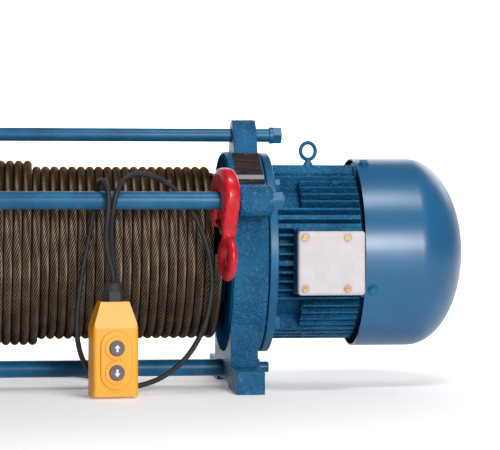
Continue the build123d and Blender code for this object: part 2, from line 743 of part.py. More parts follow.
# Line shaft from the gearbox through the drum to the fan
brake_x = housing_end_x + rear_shield_thickness
brake_coil_length = 28.0
brake_coil_r = 70.0
brake_gap = 0.5
brake_disc_x = brake_x + brake_coil_length + brake_gap
brake_disc_thickness = 8.0
brake_disc_r = 76.0
fan_x = brake_disc_x + brake_disc_thickness
fan_length = 38.0
fan_plate = 2.5
core_seat_r = 16.0
end_journal_r = end_bearing_bore - running_clearance
rear_journal_r = fan_shaft_r - running_clearance
front_journal_r = shaft_r - running_clearance
shaft = turned([
    (gear_x(cover_wall_s + 3), 0), (gear_x(cover_wall_s + 3), end_journal_r),
    (gear_x(wheel_end_s), end_journal_r), (gear_x(wheel_end_s), line_shaft_r),
    (front_bearing_x - 2, line_shaft_r), (front_bearing_x - 2, front_journal_r),
    (front_bearing_x + front_bearing_width + 1, front_journal_r),
    (front_bearing_x + front_bearing_width + 1, core_seat_r), (stator_end_x + 3, core_seat_r),
    (stator_end_x + 3, rear_journal_r), (fan_x + fan_length - 4, rear_journal_r),
    (fan_x + fan_length - 3, rear_journal_r - 1), (fan_x + fan_length - 3, 0),
])
write(shaft, "rotor_shaft")
rotor_r = stator_bore_r - air_gap
rotor_ring_length = 6.0
write(turned([
    (stator_x - rotor_ring_length, rotor_r - 18), (stator_x - rotor_ring_length, rotor_r - 3),
    (stator_x, rotor_r - 3), (stator_x, rotor_r), (stator_end_x, rotor_r), (stator_end_x, rotor_r - 3),
    (stator_end_x + rotor_ring_length, rotor_r - 3), (stator_end_x + rotor_ring_length, rotor_r - 18),
    (stator_end_x, rotor_r - 18), (stator_end_x, core_seat_r), (stator_x, core_seat_r),
    (stator_x, rotor_r - 18),
]), "rotor_core")
write(tube_x(brake_coil_r, fan_shaft_r + 4, brake_x, brake_x + brake_coil_length, 0, axis_z), "brake_coil")
write(tube_x(brake_disc_r, rear_journal_r, brake_disc_x, brake_disc_x + brake_disc_thickness, 0, axis_z),
      "brake_disc")

# Fan: hub, back plate and flat radial blades, made in one piece
fan = tube_x(fan_hub_r, rear_journal_r, fan_x, fan_x + fan_length, 0, axis_z)
fan += tube_x(fan_r, fan_hub_r - 1, fan_x, fan_x + fan_plate, 0, axis_z)
blade_length = fan_length * 0.8
blade = block(fan_x, fan_x + blade_length, fan_hub_r - 2, fan_r, axis_z - fan_plate / 2,
              axis_z + fan_plate / 2)
for number in range(fan_blades):
    fan += around(blade, number * 360 / fan_blades)
write(fan, "cooling_fan")


def cowl_solid(radius, dome, start):
    """A drum with a half-ellipse dome, turned about the motor axis."""
    bend_x = cowl_x + cowl_straight
    dome_arc = EllipticalCenterArc((bend_x, 0), dome, radius, start_angle=0, arc_size=90)
    outline = [Line((bend_x, radius), (start, radius)), Line((start, radius), (start, 0)),
               Line((start, 0), (bend_x + dome, 0)), dome_arc]
    return Pos(0, 0, axis_z) * revolve(make_face(outline), Axis.X, 360)


cowl = (cowl_solid(cowl_r, cowl_dome, cowl_x)
        - cowl_solid(cowl_r - cowl_wall, cowl_dome - cowl_wall, cowl_x - 1))
slot_inner_r = 18.0
slot_outer_r = 58.0
slot_opening = 6.0
intake = block(cowl_x + cowl_straight + 20, cowl_end_x + 1, slot_inner_r, slot_outer_r,
               axis_z - slot_opening / 2, axis_z + slot_opening / 2)
for number in range(intake_slots):
    cowl -= around(intake, (number + 0.5) * 360 / intake_slots)
for angle in cowl_screw_angles:
    cowl -= around(screw_hole, angle)
write(cowl, "fan_cowl")
cowl_screws = []
screw_head_r = 6.0
screw_washer_r = 8.0
for angle in cowl_screw_angles:
    washer = Pos(cowl_screw_x, cowl_r + 0.6, axis_z) * Cylinder(screw_washer_r, 1.6, rotation=(90, 0, 0))
    head = Pos(cowl_screw_x, cowl_r + 3.4, axis_z) * Cylinder(screw_head_r, 4.0, rotation=(90, 0, 0))
    stem = Pos(cowl_screw_x, cowl_r - 4, axis_z) * Cylinder(cowl_screw_r, 12, rotation=(90, 0, 0))
    screw = (washer - along_x(cowl_r, cowl_x, cowl_end_x, 0, axis_z)) + head + stem
    cowl_screws.append(around(screw, angle))
write(cowl_screws, "cowl_screws")


def slab_y(sketch, start, end, x=0.0, z=0.0):
    """A sketch drawn in (X, Z) and extruded to the front, from y = -start to y = -end."""
    plane = Plane(origin=(x, -start, z), x_dir=(1, 0, 0), z_dir=(0, -1, 0))
    return extrude(plane * sketch, end - start)


# Terminal box: open box, gasket, moulded cover with corner lands, screws and the block inside
box_front = box_face_out - cover_thickness - gasket_thickness
corner_xs = (cover_screw_inset - box_width / 2, box_width / 2 - cover_screw_far_inset)
corner_z = box_height / 2 - cover_screw_inset
corners = [(px, side * corner_z) for px in corner_xs for side in (-1, 1)]
post_r = 5.5
cover_screw_r = 2.5
box_outline = Pos(0, box_rise / 2) * RectangleRounded(
    box_width - 2, box_height + box_rise - 2, cover_corner_r)
box_hollow = RectangleRounded(box_width - 2 - 2 * box_wall, box_height - 2 - 2 * box_wall, cover_corner_r - 2)
terminal_box = slab_y(box_outline, box_foot_out, box_front, box_middle_x, box_z)
terminal_box -= slab_y(box_hollow, box_foot_out + box_wall, box_front + 1, box_middle_x, box_z)
for px, pz in corners:
    terminal_box += slab_y(Pos(px, pz) * Circle(post_r), box_foot_out, box_front, box_middle_x, box_z)
    terminal_box -= slab_y(Pos(px, pz) * Circle(cover_screw_r), box_front - 14, box_front + 1,
                           box_middle_x, box_z)
terminal_box -= slab_y(Circle(wire_hole_r), box_foot_out - 1, box_foot_out + box_wall + 1,
                       box_middle_x, box_z)
write(terminal_box, "terminal_box")
holes = Sketch() + [Pos(px, pz) * Circle(cover_screw_r) for px, pz in corners]
gasket_outline = RectangleRounded(box_width - 2, box_height - 2, cover_corner_r)
gasket = slab_y(gasket_outline - box_hollow, box_front, box_front + gasket_thickness, box_middle_x, box_z)
gasket += slab_y(Sketch() + [Pos(px, pz) * Circle(post_r) for px, pz in corners], box_front,
                 box_front + gasket_thickness, box_middle_x, box_z)
gasket -= slab_y(holes, box_front - 1, box_front + gasket_thickness + 1, box_middle_x, box_z)
write(gasket, "terminal_box_gasket")
lid_start = box_front + gasket_thickness
lid = slab_y(RectangleRounded(box_width, box_height, cover_corner_r), lid_start, box_face_out,
             box_middle_x, box_z)
lid = fillet(lid.edges().filter_by(Plane.XZ).group_by(Axis.Y)[0], 3.5)
lid -= slab_y(RectangleRounded(box_width - 10, box_height - 10, cover_corner_r - 2)
              - (Sketch() + [Pos(px, pz) * Circle(post_r + 2) for px, pz in corners]),
              lid_start - 1, box_face_out - 3, box_middle_x, box_z)
land_depth = 1.5
land_r = 6.5
for px, pz in corners:
    lid -= slab_y(Pos(px, pz) * Circle(land_r), box_face_out - land_depth, box_face_out + 1,
                  box_middle_x, box_z)
lid -= slab_y(holes, lid_start - 1, box_face_out + 1, box_middle_x, box_z)
write(lid, "terminal_box_cover")
screw_seat = box_face_out - land_depth
cover_screws = []
for px, pz in corners:
    screw = slab_y(Circle(cover_screw_r), box_front - 12, screw_seat + 1, box_middle_x + px, box_z + pz)
    head = slab_y(Circle(4.2), screw_seat, screw_seat + 2.6, box_middle_x + px, box_z + pz)
    head -= slab_y(Rectangle(9, 1.1), screw_seat + 1.5, screw_seat + 3, box_middle_x + px, box_z + pz)
    cover_screws.append(screw + head)
write(cover_screws, "terminal_box_screws")
block_z0 = box_z - 12
terminal_block = block(box_middle_x - 30, box_middle_x + 30, -(box_foot_out + box_wall + 9),
                       -(box_foot_out + box_wall), block_z0 - 14, block_z0 + 4)
for post in range(6):
    terminal_block += slab_y(Circle(2.0), box_foot_out + box_wall + 8, box_foot_out + box_wall + 17,
                             box_middle_x - 25 + post * 10, block_z0 - 5)
write(terminal_block, "terminal_block")

# Eye bolt on the top pad
pad_z = axis_z + fin_tip_r
eye_bolt = Pos(0, 0, eye_height) * Rot(90, 0, 0) * Torus(eye_ring_r, eye_bar_r)
eye_neck = eye_height - eye_ring_r
eye_bolt += Pos(0, 0, eye_neck / 2) * Cone(eye_collar_r, eye_bar_r, eye_neck)
eye_bolt += Pos(0, 0, -6) * Cylinder(eye_shank_r, 16)
write(Pos(eye_x, 0, pad_z) * Rot(0, 0, eye_turn) * eye_bolt, "eye_bolt")

# Blank plate on the front facet of the right end frame, with two rivets
facet_run = facet_knee_out - facet_top_out
facet_fall = facet_top_height - facet_knee_height
facet_tilt = atan2(facet_fall, facet_run) * 180 / pi
plate_y = -(facet_top_out + facet_knee_out) / 2
plate_z = axis_z + (facet_top_height + facet_knee_height) / 2
plate_x = (inner_x + outer_x) / 2 + 2.0
on_facet = Pos(plate_x, plate_y, plate_z) * Rot(facet_tilt, 0, 0)
plate = on_facet * Pos(0, 0, plate_thickness / 2) * Box(plate_width, plate_length, plate_thickness)
rivets = []
rivet_inset = 5.0
for end in (-1, 1):
    rivet = Pos(0, end * (plate_length / 2 - rivet_inset), plate_thickness + 0.5) * Cylinder(rivet_r, 1.0)
    rivets.append(on_facet * rivet)
write(plate, "blank_plate")
write(rivets, "plate_rivets")

# Load hook, stored upside down over the front rod: outline about the rod's centre, front to the right
throat_r = 17.0
throat_top = side_rod_r + seat_gap
throat_drop = throat_r - throat_top
tip_out, tip_in = (-30.0, -37.0), (-20.0, -37.0)
neck_out, neck_in = (27.0, -40.0), (11.0, -36.0)
neck_end_out, neck_end_in = (23.0, -54.0), (5.0, -54.0)


def touch(point, side):
    """Where the line from a point touches the ring of the hook's back, on one side of it."""
    out, up = point[0] - hook_ring_middle[0], point[1] - hook_ring_middle[1]
    angle = atan2(up, out) + side * acos(hook_ring_r / hypot(out, up))
    return (hook_ring_middle[0] + hook_ring_r * cos(angle), hook_ring_middle[1] + hook_ring_r * sin(angle))


back_start, back_end = touch(tip_out, -1), touch(neck_out, 1)
back_top = (hook_ring_middle[0], hook_ring_middle[1] + hook_ring_r)
hook_outline = make_face([
    Line(tip_out, back_start), ThreePointArc(back_start, back_top, back_end), Line(back_end, neck_out),
    Line(neck_out, neck_end_out), Line(neck_end_out, neck_end_in), Line(neck_end_in, neck_in),
    Line(neck_in, (throat_r, -throat_drop)),
    ThreePointArc((throat_r, -throat_drop), (0, throat_top), (-throat_r, -throat_drop)),
    Line((-throat_r, -throat_drop), tip_in), Line(tip_in, tip_out)])
for height, corner_r in ((tip_out[1], hook_tip_round), (neck_out[1], hook_neck_round),
                         (neck_in[1], hook_neck_round), (neck_end_out[1], hook_end_round)):
    corners = [v for v in hook_outline.vertices() if abs(v.Y - height) < touching]
    hook_outline = fillet(corners, corner_r)
hook_plane = Plane(origin=(0, 0, 0), x_dir=(0, -1, 0), z_dir=(-1, 0, 0))
at_hook = Pos(hook_x, -side_rod_out, side_rod_z) * Rot(0, 0, hook_turn)


def hook_slab(sketch, start, end):
    """A sketch in the hook's own plane, extruded across it from start to end."""
    return extrude(hook_plane.offset(start) * sketch, end - start)


hook = hook_slab(hook_outline, -hook_thickness / 2, hook_thickness / 2)
hook = fillet(hook.faces().filter_by(Axis.X).edges(), hook_edge)
latch_pivot = (14.0, -44.0)
latch_end = (-17.2, -28.0)
cheek = 7.0
cheek_r = 7.5
for side in (-1, 1):
    ends = sorted((side * cheek, side * hook_thickness))
    swing_room = Pos(latch_pivot[0] - cheek_r, latch_pivot[1] + latch_swing_room / 2) * Rectangle(
        2 * cheek_r, 2 * cheek_r + latch_swing_room)
    hook -= hook_slab(Pos(*latch_pivot) * Circle(cheek_r) + swing_room, ends[0], ends[1])
eye_section = Pos(hook_eye_r, 0) * RectangleRounded(hook_eye_bar, hook_eye_thickness, hook_eye_round)
hook_eye = Rot(0, 90, 0) * Rot(90, 0, 0) * revolve(eye_section, Axis.Y, 360)
hook += Pos(0, -hook_eye_out, -hook_eye_drop) * hook_eye
hook -= hook_slab(Pos(*latch_pivot) * Circle(latch_pin_r), -hook_thickness, hook_thickness)
write(at_hook * hook, "load_hook")

latch_run = hypot(latch_end[0] - latch_pivot[0], latch_end[1] - latch_pivot[1])
latch_angle = 180 - acos((latch_pivot[0] - latch_end[0]) / latch_run) * 180 / pi
on_latch = Pos(*latch_pivot) * Rot(0, 0, latch_angle)
ear_inner = cheek + seat_gap
ear_outer = ear_inner + latch_thickness
ear_sketch = on_latch * (Circle(latch_ear_r) + Pos(latch_ear_length / 2, 0)
                         * Rectangle(latch_ear_length, latch_ear_width)
                         - Circle(latch_pin_r + running_clearance))
latch = hook_slab(ear_sketch, -ear_outer, -ear_inner) + hook_slab(ear_sketch, ear_inner, ear_outer)
latch += hook_slab(on_latch * (Pos((latch_bar_start + latch_run) / 2, 0)
                               * Rectangle(latch_run - latch_bar_start, latch_thickness)),
                   -ear_outer, ear_outer)
write(at_hook * latch, "hook_latch")
pin_reach = ear_outer + 0.3
pin_sketch = Pos(*latch_pivot) * Circle(latch_pin_r)
latch_pin = hook_slab(pin_sketch, -pin_reach, pin_reach)
for side in (-1, 1):
    ends = sorted((side * pin_reach, side * (pin_reach + 1.2)))
    latch_pin += hook_slab(Pos(*latch_pivot) * Circle(latch_pin_r + 1.2), ends[0], ends[1])
write(at_hook * latch_pin, "latch_pin")

# Control box on two cast pads at the back of the left end frame, with its lid and two glands
pad_reach = 2.0
box_y0 = frame_r + pad_reach
control_x = -(inner_x + outer_x) / 2
control_z1 = control_box_z + control_box_height
for pad_height in (control_box_z + 22, control_z1 - 22):
    pad = block(control_x - 18, control_x + 18, 0, box_y0, pad_height - 12, pad_height + 12)
    left_frame += pad - Pos(0, 0, axis_z) * along_x(frame_r - 3, -outer_x - 1, -inner_x + 1)
write(left_frame, "left_end_frame")


def slab_back(sketch, start, end, x, z):
    """A sketch drawn in (X, Z) and extruded to the back, from y = start to y = end."""
    plane = Plane(origin=(x, start, z), x_dir=(-1, 0, 0), z_dir=(0, 1, 0))
    return extrude(plane * sketch, end - start)


control_mid_z = (control_box_z + control_z1) / 2
control_middle_x = control_x + 10.0
control_outline = RectangleRounded(control_box_width, control_box_height, 8.0)
control_hollow = RectangleRounded(control_box_width - 2 * control_box_wall,
                                  control_box_height - 2 * control_box_wall, 5.0)
lid_y = box_y0 + control_box_depth - control_box_lid
control_box = slab_back(control_outline, box_y0, lid_y, control_middle_x, control_mid_z)
control_box -= slab_back(control_hollow, box_y0 + control_box_wall, lid_y + 1, control_middle_x,
                         control_mid_z)
gland_y = (box_y0 + lid_y) / 2
gland_xs = [control_middle_x + 32.0, control_middle_x + 4.0]
gland_thread_r = 7.0
for gland_x in gland_xs:
    control_box -= Pos(gland_x, gland_y, control_box_z) * Cylinder(gland_thread_r, 20)
write(control_box, "control_box")
control_lid = slab_back(control_outline, lid_y, lid_y + control_box_lid, control_middle_x, control_mid_z)
control_lid = fillet(control_lid.edges().group_by(Axis.Y)[-1], 3.0)
write(control_lid, "control_box_lid")
contactor = block(control_middle_x - 26, control_middle_x + 26, box_y0 + control_box_wall, lid_y - 8,
                  control_mid_z - 10, control_z1 - 14)
write(contactor, "contactor")


def gland(x, y, z, way, radius, length):
    """A cable gland along Z: thread, hexagon and rounded cap, with the cable's bore through it."""
    hexagon = extrude(RegularPolygon(radius, 6), length * 0.55)
    cap = Pos(0, 0, length * 0.55 + length * 0.225) * Cylinder(radius * 0.84, length * 0.45)
    cap = fillet(cap.edges().group_by(Axis.Z)[-1], 3.0)
    thread = Pos(0, 0, -4) * Cylinder(gland_thread_r, 8)
    body = hexagon + cap + thread - Cylinder(cable_r, 4 * length)
    turn = 0 if way > 0 else 180
    return Pos(x, y, z) * Rot(turn, 0, 0) * body


box_glands = [gland(x, gland_y, control_box_z, -1, control_gland_r, control_gland_length) for x in gland_xs]
write(box_glands, "control_box_glands")

# Pendant station: two shells, pill shaped field, collars, buttons, switch blocks, screws and gland
at_pendant = Pos(pendant_x, pendant_y, pendant_floor_gap) * Rot(0, 0, pendant_turn)
front_y = -pendant_depth / 2
shoulder_z = pendant_height - pendant_taper


def pendant_body(inset):
    """The station's tapered body, drawn in its own frame and made smaller by an inset all round."""
    half_low = pendant_width / 2 - inset
    half_top = pendant_top_width / 2 - inset
    front = Polyline((-half_low, inset), (half_low, inset), (half_low, shoulder_z),
                     (half_top, pendant_height - inset), (-half_top, pendant_height - inset),
                     (-half_low, shoulder_z), close=True)
    depth_low = pendant_depth / 2 - inset
    depth_top = pendant_top_depth / 2 - inset
    side = Polyline((-depth_low, inset), (depth_low, inset), (depth_low, shoulder_z),
                    (depth_top, pendant_height - inset), (-depth_top, pendant_height - inset),
                    (-depth_low, shoulder_z), close=True)
    front_plane = Plane(origin=(0, pendant_depth, 0), x_dir=(1, 0, 0), z_dir=(0, -1, 0))
    side_plane = Plane(origin=(-pendant_width, 0, 0), x_dir=(0, 1, 0), z_dir=(1, 0, 0))
    return (extrude(front_plane * make_face(front), 2 * pendant_depth)
            & extrude(side_plane * make_face(side), 2 * pendant_width))


def on_front(sketch, start, end, z):
    """A sketch on the pendant's front face, extruded forwards between two distances from it."""
    plane = Plane(origin=(0, front_y - start, z), x_dir=(1, 0, 0), z_dir=(0, -1, 0))
    return extrude(plane * sketch, end - start)


pendant = pendant_body(0)
pendant = fillet(pendant.edges().filter_by(Axis.Z), 5.0)
pendant -= pendant_body(pendant_wall)
pill_z = pendant_height - pill_drop
button_zs = [pill_z + button_spacing / 2, pill_z - button_spacing / 2]
pill = on_front(RectangleRounded(pill_width, pill_length, pill_width / 2 - 0.5),
                -pendant_wall / 2, pill_height,
                pill_z)
pill = fillet(pill.edges().group_by(Axis.Y)[0], 1.5)
split_y = front_y + pendant_split
front_half = Pos(0, split_y - pendant_depth, pendant_height / 2) * Box(pendant_width * 2, pendant_depth * 2,
                                                                      pendant_height * 2)
front_shell = (pendant & front_half) + pill
back_shell = pendant - front_half
for button_z in button_zs:
    front_shell += on_front(Circle(collar_r), 0, pill_height + collar_height, button_z)
    front_shell -= on_front(Circle(button_r + button_gap), -pendant_wall - 2, pill_height + collar_height + 1,
                            button_z)
gland_hole = Pos(0, 0, pendant_height) * Cylinder(gland_thread_r, 20)
screw_places = [(sx * (pendant_width / 2 - 8), z) for sx in (-1, 1) for z in (8.0, shoulder_z - 4)]
case_post_r = 4.0
case_screw_r = 1.8
case_screws = []
for sx, z in screw_places:
    post = Plane(origin=(sx, pendant_depth / 2 - 1, z), x_dir=(1, 0, 0), z_dir=(0, -1, 0))
    back_shell += extrude(post * Circle(case_post_r), pendant_depth / 2 - 1 - split_y)
    front_shell += extrude(post.offset(pendant_depth / 2 - 1 - split_y) * Circle(case_post_r),
                           split_y - front_y - 1)
    hole = extrude(post.offset(-5) * Circle(case_screw_r), pendant_depth - 5)
    recess = extrude(post.offset(-5) * Circle(case_screw_r * 1.8), 7)
    back_shell = back_shell - hole - recess
    front_shell -= hole
    screw_plane = post.offset(2)
    case_screws.append(extrude(screw_plane * Circle(case_screw_r), pendant_depth - 14)
                       + extrude(screw_plane * Circle(case_screw_r * 1.8), -1.8))
write(at_pendant * (front_shell - gland_hole), "pendant_front_shell")
write(at_pendant * (back_shell - gland_hole), "pendant_back_shell")
write([at_pendant * screw for screw in case_screws], "pendant_screws")

button_flange_r = button_r + 2.5
button_end = pill_height + collar_height + button_proud
button_names = ["up_button", "down_button"]
flange_back = -(pendant_wall + 3.5)
for name, button_z in zip(button_names, button_zs):
    button = on_front(Circle(button_r), flange_back, button_end, button_z)
    button = fillet(button.edges().group_by(Axis.Y)[0], 1.2)
    button += on_front(Circle(button_flange_r), flange_back, -(pendant_wall + 0.3), button_z)
    write(at_pendant * button, name)
switch_y1 = front_y - flange_back + button_travel + seat_gap
switches = []
for button_z in button_zs:
    switches.append(at_pendant * block(-13, 13, switch_y1, pendant_depth / 2 - pendant_wall, button_z - 14,
                                       button_z + 14))
write(switches, "switch_blocks")
pendant_gland = gland(0, 0, pendant_height, 1, pendant_gland_r, pendant_gland_length)
write(at_pendant * pendant_gland, "pendant_gland")

# Control cable: out of the control box, along the floor, under the bottom rod, up behind the
# pendant, over the front rod, round the big loop at the right, behind the pendant, up at its left,
# over the front rod again and down into the pendant's gland
exit_point = (gland_xs[0], gland_y, control_box_z - control_gland_length)
end_point = (pendant_x, pendant_y, pendant_floor_gap + pendant_height + pendant_gland_length)
cable_route = [
    exit_point, (-204, 176, 66), (-202, 175, 38), (-190, 172, 14), (-160, 169, 5), (-112, 171, 4.2),
    (-62, 167, 4.4), (-14, 158, 4.2), (20, 132, 4.4), (35, 92, 4.2), (39, 44, 4.2), (41, -6, 4.4),
    (43, -54, 4.2), (46, -96, 4.2), (48, -122, 8), (49, -140, 26), (50, -150, 58), (51, -161, 100),
    (51, -170, 146), (47, -180, 186), (43, -192, 224), (45, -201, 256), (50, -203, 282),
    (60, -196, 302), (78, -184, 311), (102, -173, 308), (128, -163, 295), (150, -158, 274),
    (168, -156, 244), (182, -157, 208), (188, -159, 170), (186, -161, 132), (177, -164, 96),
    (161, -166, 64), (138, -167, 38), (109, -167, 20), (78, -166, 11), (48, -165, 11),
    (22, -164, 24), (5, -163, 48), (-3, -162, 82), (-2, -160, 122), (4, -159, 166), (12, -157, 208),
    (18, -158, 238), (22, -157, 262), (24, -156, 280), (27, -163, 294), (31, -177, 301),
    (35, -192, 299), (38, -203, 289), (40, -206, 274), (39, -206, 254), (36, -204, 230),
    (37, -202, 206), (42, -200, 186), (pendant_x, pendant_y, 172), end_point,
]


def rounded_tube(points, radius):
    """A tube on straight runs joined by the largest arcs that the runs allow."""
    corners = [Vector(*point) for point in points]
    radii = []
    for before, corner, after in zip(corners, corners[1:], corners[2:]):
        turn = radians((corner - before).get_angle(after - corner))
        shorter = min((corner - before).length, (after - corner).length)
        radii.append(0.45 * shorter / tan(turn / 2))
    path = FilletPolyline(*corners, radius=radii)
    start = Plane(origin=corners[0], z_dir=path % 0)
    tube = sweep(start * Circle(radius), path)
    print("cable length", round(path.length), "least radius", round(min(radii), 1), "volume share",
          round(tube.volume / (pi * radius ** 2 * path.length), 4))
    print("radii", [round(value) for value in radii])
    return tube


write(rounded_tube(cable_route, cable_r), "control_cable")
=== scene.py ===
# %% [markdown]
# # An electric winch, dressed for its portrait
# A winch like this stands on a gantry or in a workshop. Two cast end frames are held apart by
# four tie rods, a drum of wire rope turns between them, and a finned motor under a sheet cowl
# drives it. The solids come from a CAD model, packed as a fixed frame. This lesson gives that
# frame the finish of the real thing: rough sand casting under blue paint, a twisted greased
# rope, a glossy red hook, moulded plastic, and a rubber cable that lies on the floor.

# %% Load the frame and keep its box
import json
import math

import bmesh
import bpy
from mathutils import Matrix, Vector

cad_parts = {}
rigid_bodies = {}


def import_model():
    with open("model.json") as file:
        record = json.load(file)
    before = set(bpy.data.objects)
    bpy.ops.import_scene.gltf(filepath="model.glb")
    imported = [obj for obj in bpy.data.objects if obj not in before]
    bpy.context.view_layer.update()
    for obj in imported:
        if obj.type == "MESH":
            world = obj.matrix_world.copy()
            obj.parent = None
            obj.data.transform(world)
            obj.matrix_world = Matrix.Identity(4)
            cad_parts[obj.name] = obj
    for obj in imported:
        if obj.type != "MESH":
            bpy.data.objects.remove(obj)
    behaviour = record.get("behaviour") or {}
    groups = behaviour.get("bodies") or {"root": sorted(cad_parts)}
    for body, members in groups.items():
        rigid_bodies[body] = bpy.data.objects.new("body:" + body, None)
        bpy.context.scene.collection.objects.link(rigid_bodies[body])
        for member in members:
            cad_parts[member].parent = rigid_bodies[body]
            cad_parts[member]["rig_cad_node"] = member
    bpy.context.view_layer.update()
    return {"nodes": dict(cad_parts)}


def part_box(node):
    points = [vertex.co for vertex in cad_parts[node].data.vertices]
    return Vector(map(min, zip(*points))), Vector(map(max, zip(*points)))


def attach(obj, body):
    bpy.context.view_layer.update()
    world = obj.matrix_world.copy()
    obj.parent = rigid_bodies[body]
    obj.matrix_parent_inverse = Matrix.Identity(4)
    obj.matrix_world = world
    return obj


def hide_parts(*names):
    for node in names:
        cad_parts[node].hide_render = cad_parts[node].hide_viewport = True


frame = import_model()
nodes = frame["nodes"]

MM = 0.001

# %% [markdown]
# ## The camera
# The photograph was taken with a long lens from the front, a little to the left of the drum's
# middle. Its straight edges show where the eye was: 112 mm left of the middle of the feet,
# 3 m in front of them, at the height of the drum. The camera turns about 7 degrees towards the
# motor to put the winch in the middle of the picture, so no lens shift is needed. Its turn, tilt
# and focal length were fitted to the corners of the end frame, the motor and the pendant.

# %% Place the camera
SENSOR_WIDTH = 36.0
FOCAL_PIXELS = 2026.5
PHOTO_WIDTH = 500
EYE = Vector((-0.112, -3.0, 0.2595))
turn, tilt = math.radians(7.096), math.radians(-0.429)

lens_unit = bpy.data.cameras.new("portrait_camera")
lens_unit.sensor_width = SENSOR_WIDTH
lens_unit.lens = SENSOR_WIDTH * FOCAL_PIXELS / PHOTO_WIDTH
camera = bpy.data.objects.new("portrait_camera", lens_unit)
camera.location = EYE
camera.rotation_euler = (math.pi / 2 + tilt, 0.0, -turn)
bpy.context.scene.collection.objects.link(camera)
bpy.context.scene.camera = camera
print("lens", round(lens_unit.lens, 1), "mm, turned", round(math.degrees(turn), 2), "degrees")

# %% [markdown]
# ## Working like at the bench
# Every piece is modelled with Blender's own operators. They act on all that is selected, so
# each piece starts from an empty selection. A few small helpers do what is needed again and
# again: start clean, pick edges by their place, fix a finished piece to the body that carries
# it, and leave its object at the origin with its place in its mesh.

# %% Helpers for modelling
def clear_selection():
    """Leaves edit mode and deselects everything."""
    if bpy.context.mode != "OBJECT":
        bpy.ops.object.mode_set(mode="OBJECT")
    bpy.ops.object.select_all(action="DESELECT")


def take(piece):
    """Makes this piece the only selected and the active one."""
    clear_selection()
    piece.select_set(True)
    bpy.context.view_layer.objects.active = piece
    return piece


def finish_modifiers(piece):
    """Applies the modifiers of a piece in their order."""
    take(piece)
    for modifier in list(piece.modifiers):
        bpy.ops.object.modifier_apply(modifier=modifier.name)
    return piece


def settle(piece):
    """Puts the place, turn and scale of a piece into its mesh."""
    take(piece)
    bpy.ops.object.transform_apply(location=True, rotation=True, scale=True)
    return piece


def smooth(piece, degrees=35.0):
    """Shades a piece smooth, apart from edges sharper than this."""
    take(piece)
    bpy.ops.object.shade_smooth_by_angle(angle=math.radians(degrees))
    return piece


def count(piece):
    """Prints how many faces a piece has and how big it is."""
    size = [round(1000 * side, 1) for side in piece.dimensions]
    print(piece.name, "faces:", len(piece.data.polygons), "size mm:", size)
    return piece


def merged_copy(node, name):
    """A copy of a CAD node, with its loose triangles merged."""
    copy = nodes[node].copy()
    copy.data = nodes[node].data.copy()
    copy.name = name
    for key in list(copy.keys()):
        del copy[key]
    copy.data.materials.clear()
    bpy.context.scene.collection.objects.link(copy)
    take(copy)
    bpy.ops.object.mode_set(mode="EDIT")
    bpy.ops.mesh.select_all(action="SELECT")
    bpy.ops.mesh.remove_doubles(threshold=0.01 * MM)
    bpy.ops.object.mode_set(mode="OBJECT")
    return copy

# %% [markdown]
# ## Writing shader maths as sums
# A finish is a small calculation that Blender repeats at every point of a surface. Drawn as
# nodes, even a short sum is a tangle of boxes. So a socket is wrapped in a small class that
# knows plus, times, more than and less than: the sum is written as in a notebook, and the nodes
# are laid behind it. All other nodes come from one method that sets their options and feeds
# them.

# %% A socket that can be added, multiplied and compared
class Signal:
    """A number that changes over the surface, or a colour, inside one finish."""

    def __init__(self, finish, socket):
        self.finish, self.socket = finish, socket

    def maths(self, operation, first, second):
        return self.finish.node(
            "ShaderNodeMath", {"operation": operation}, {0: first, 1: second})

    def __add__(self, other):
        return self.maths("ADD", self, other)

    def __mul__(self, other):
        return self.maths("MULTIPLY", self, other)

    def __gt__(self, other):
        return self.maths("GREATER_THAN", self, other)

    def __lt__(self, other):
        return self.maths("LESS_THAN", self, other)

    __radd__ = __add__
    __rmul__ = __mul__

    def between(self, low, high):
        """Rises smoothly from 0 at low to 1 at high."""
        return self.finish.node(
            "ShaderNodeMapRange", {"interpolation_type": "SMOOTHSTEP"},
            {"Value": self, "From Min": low, "From Max": high})


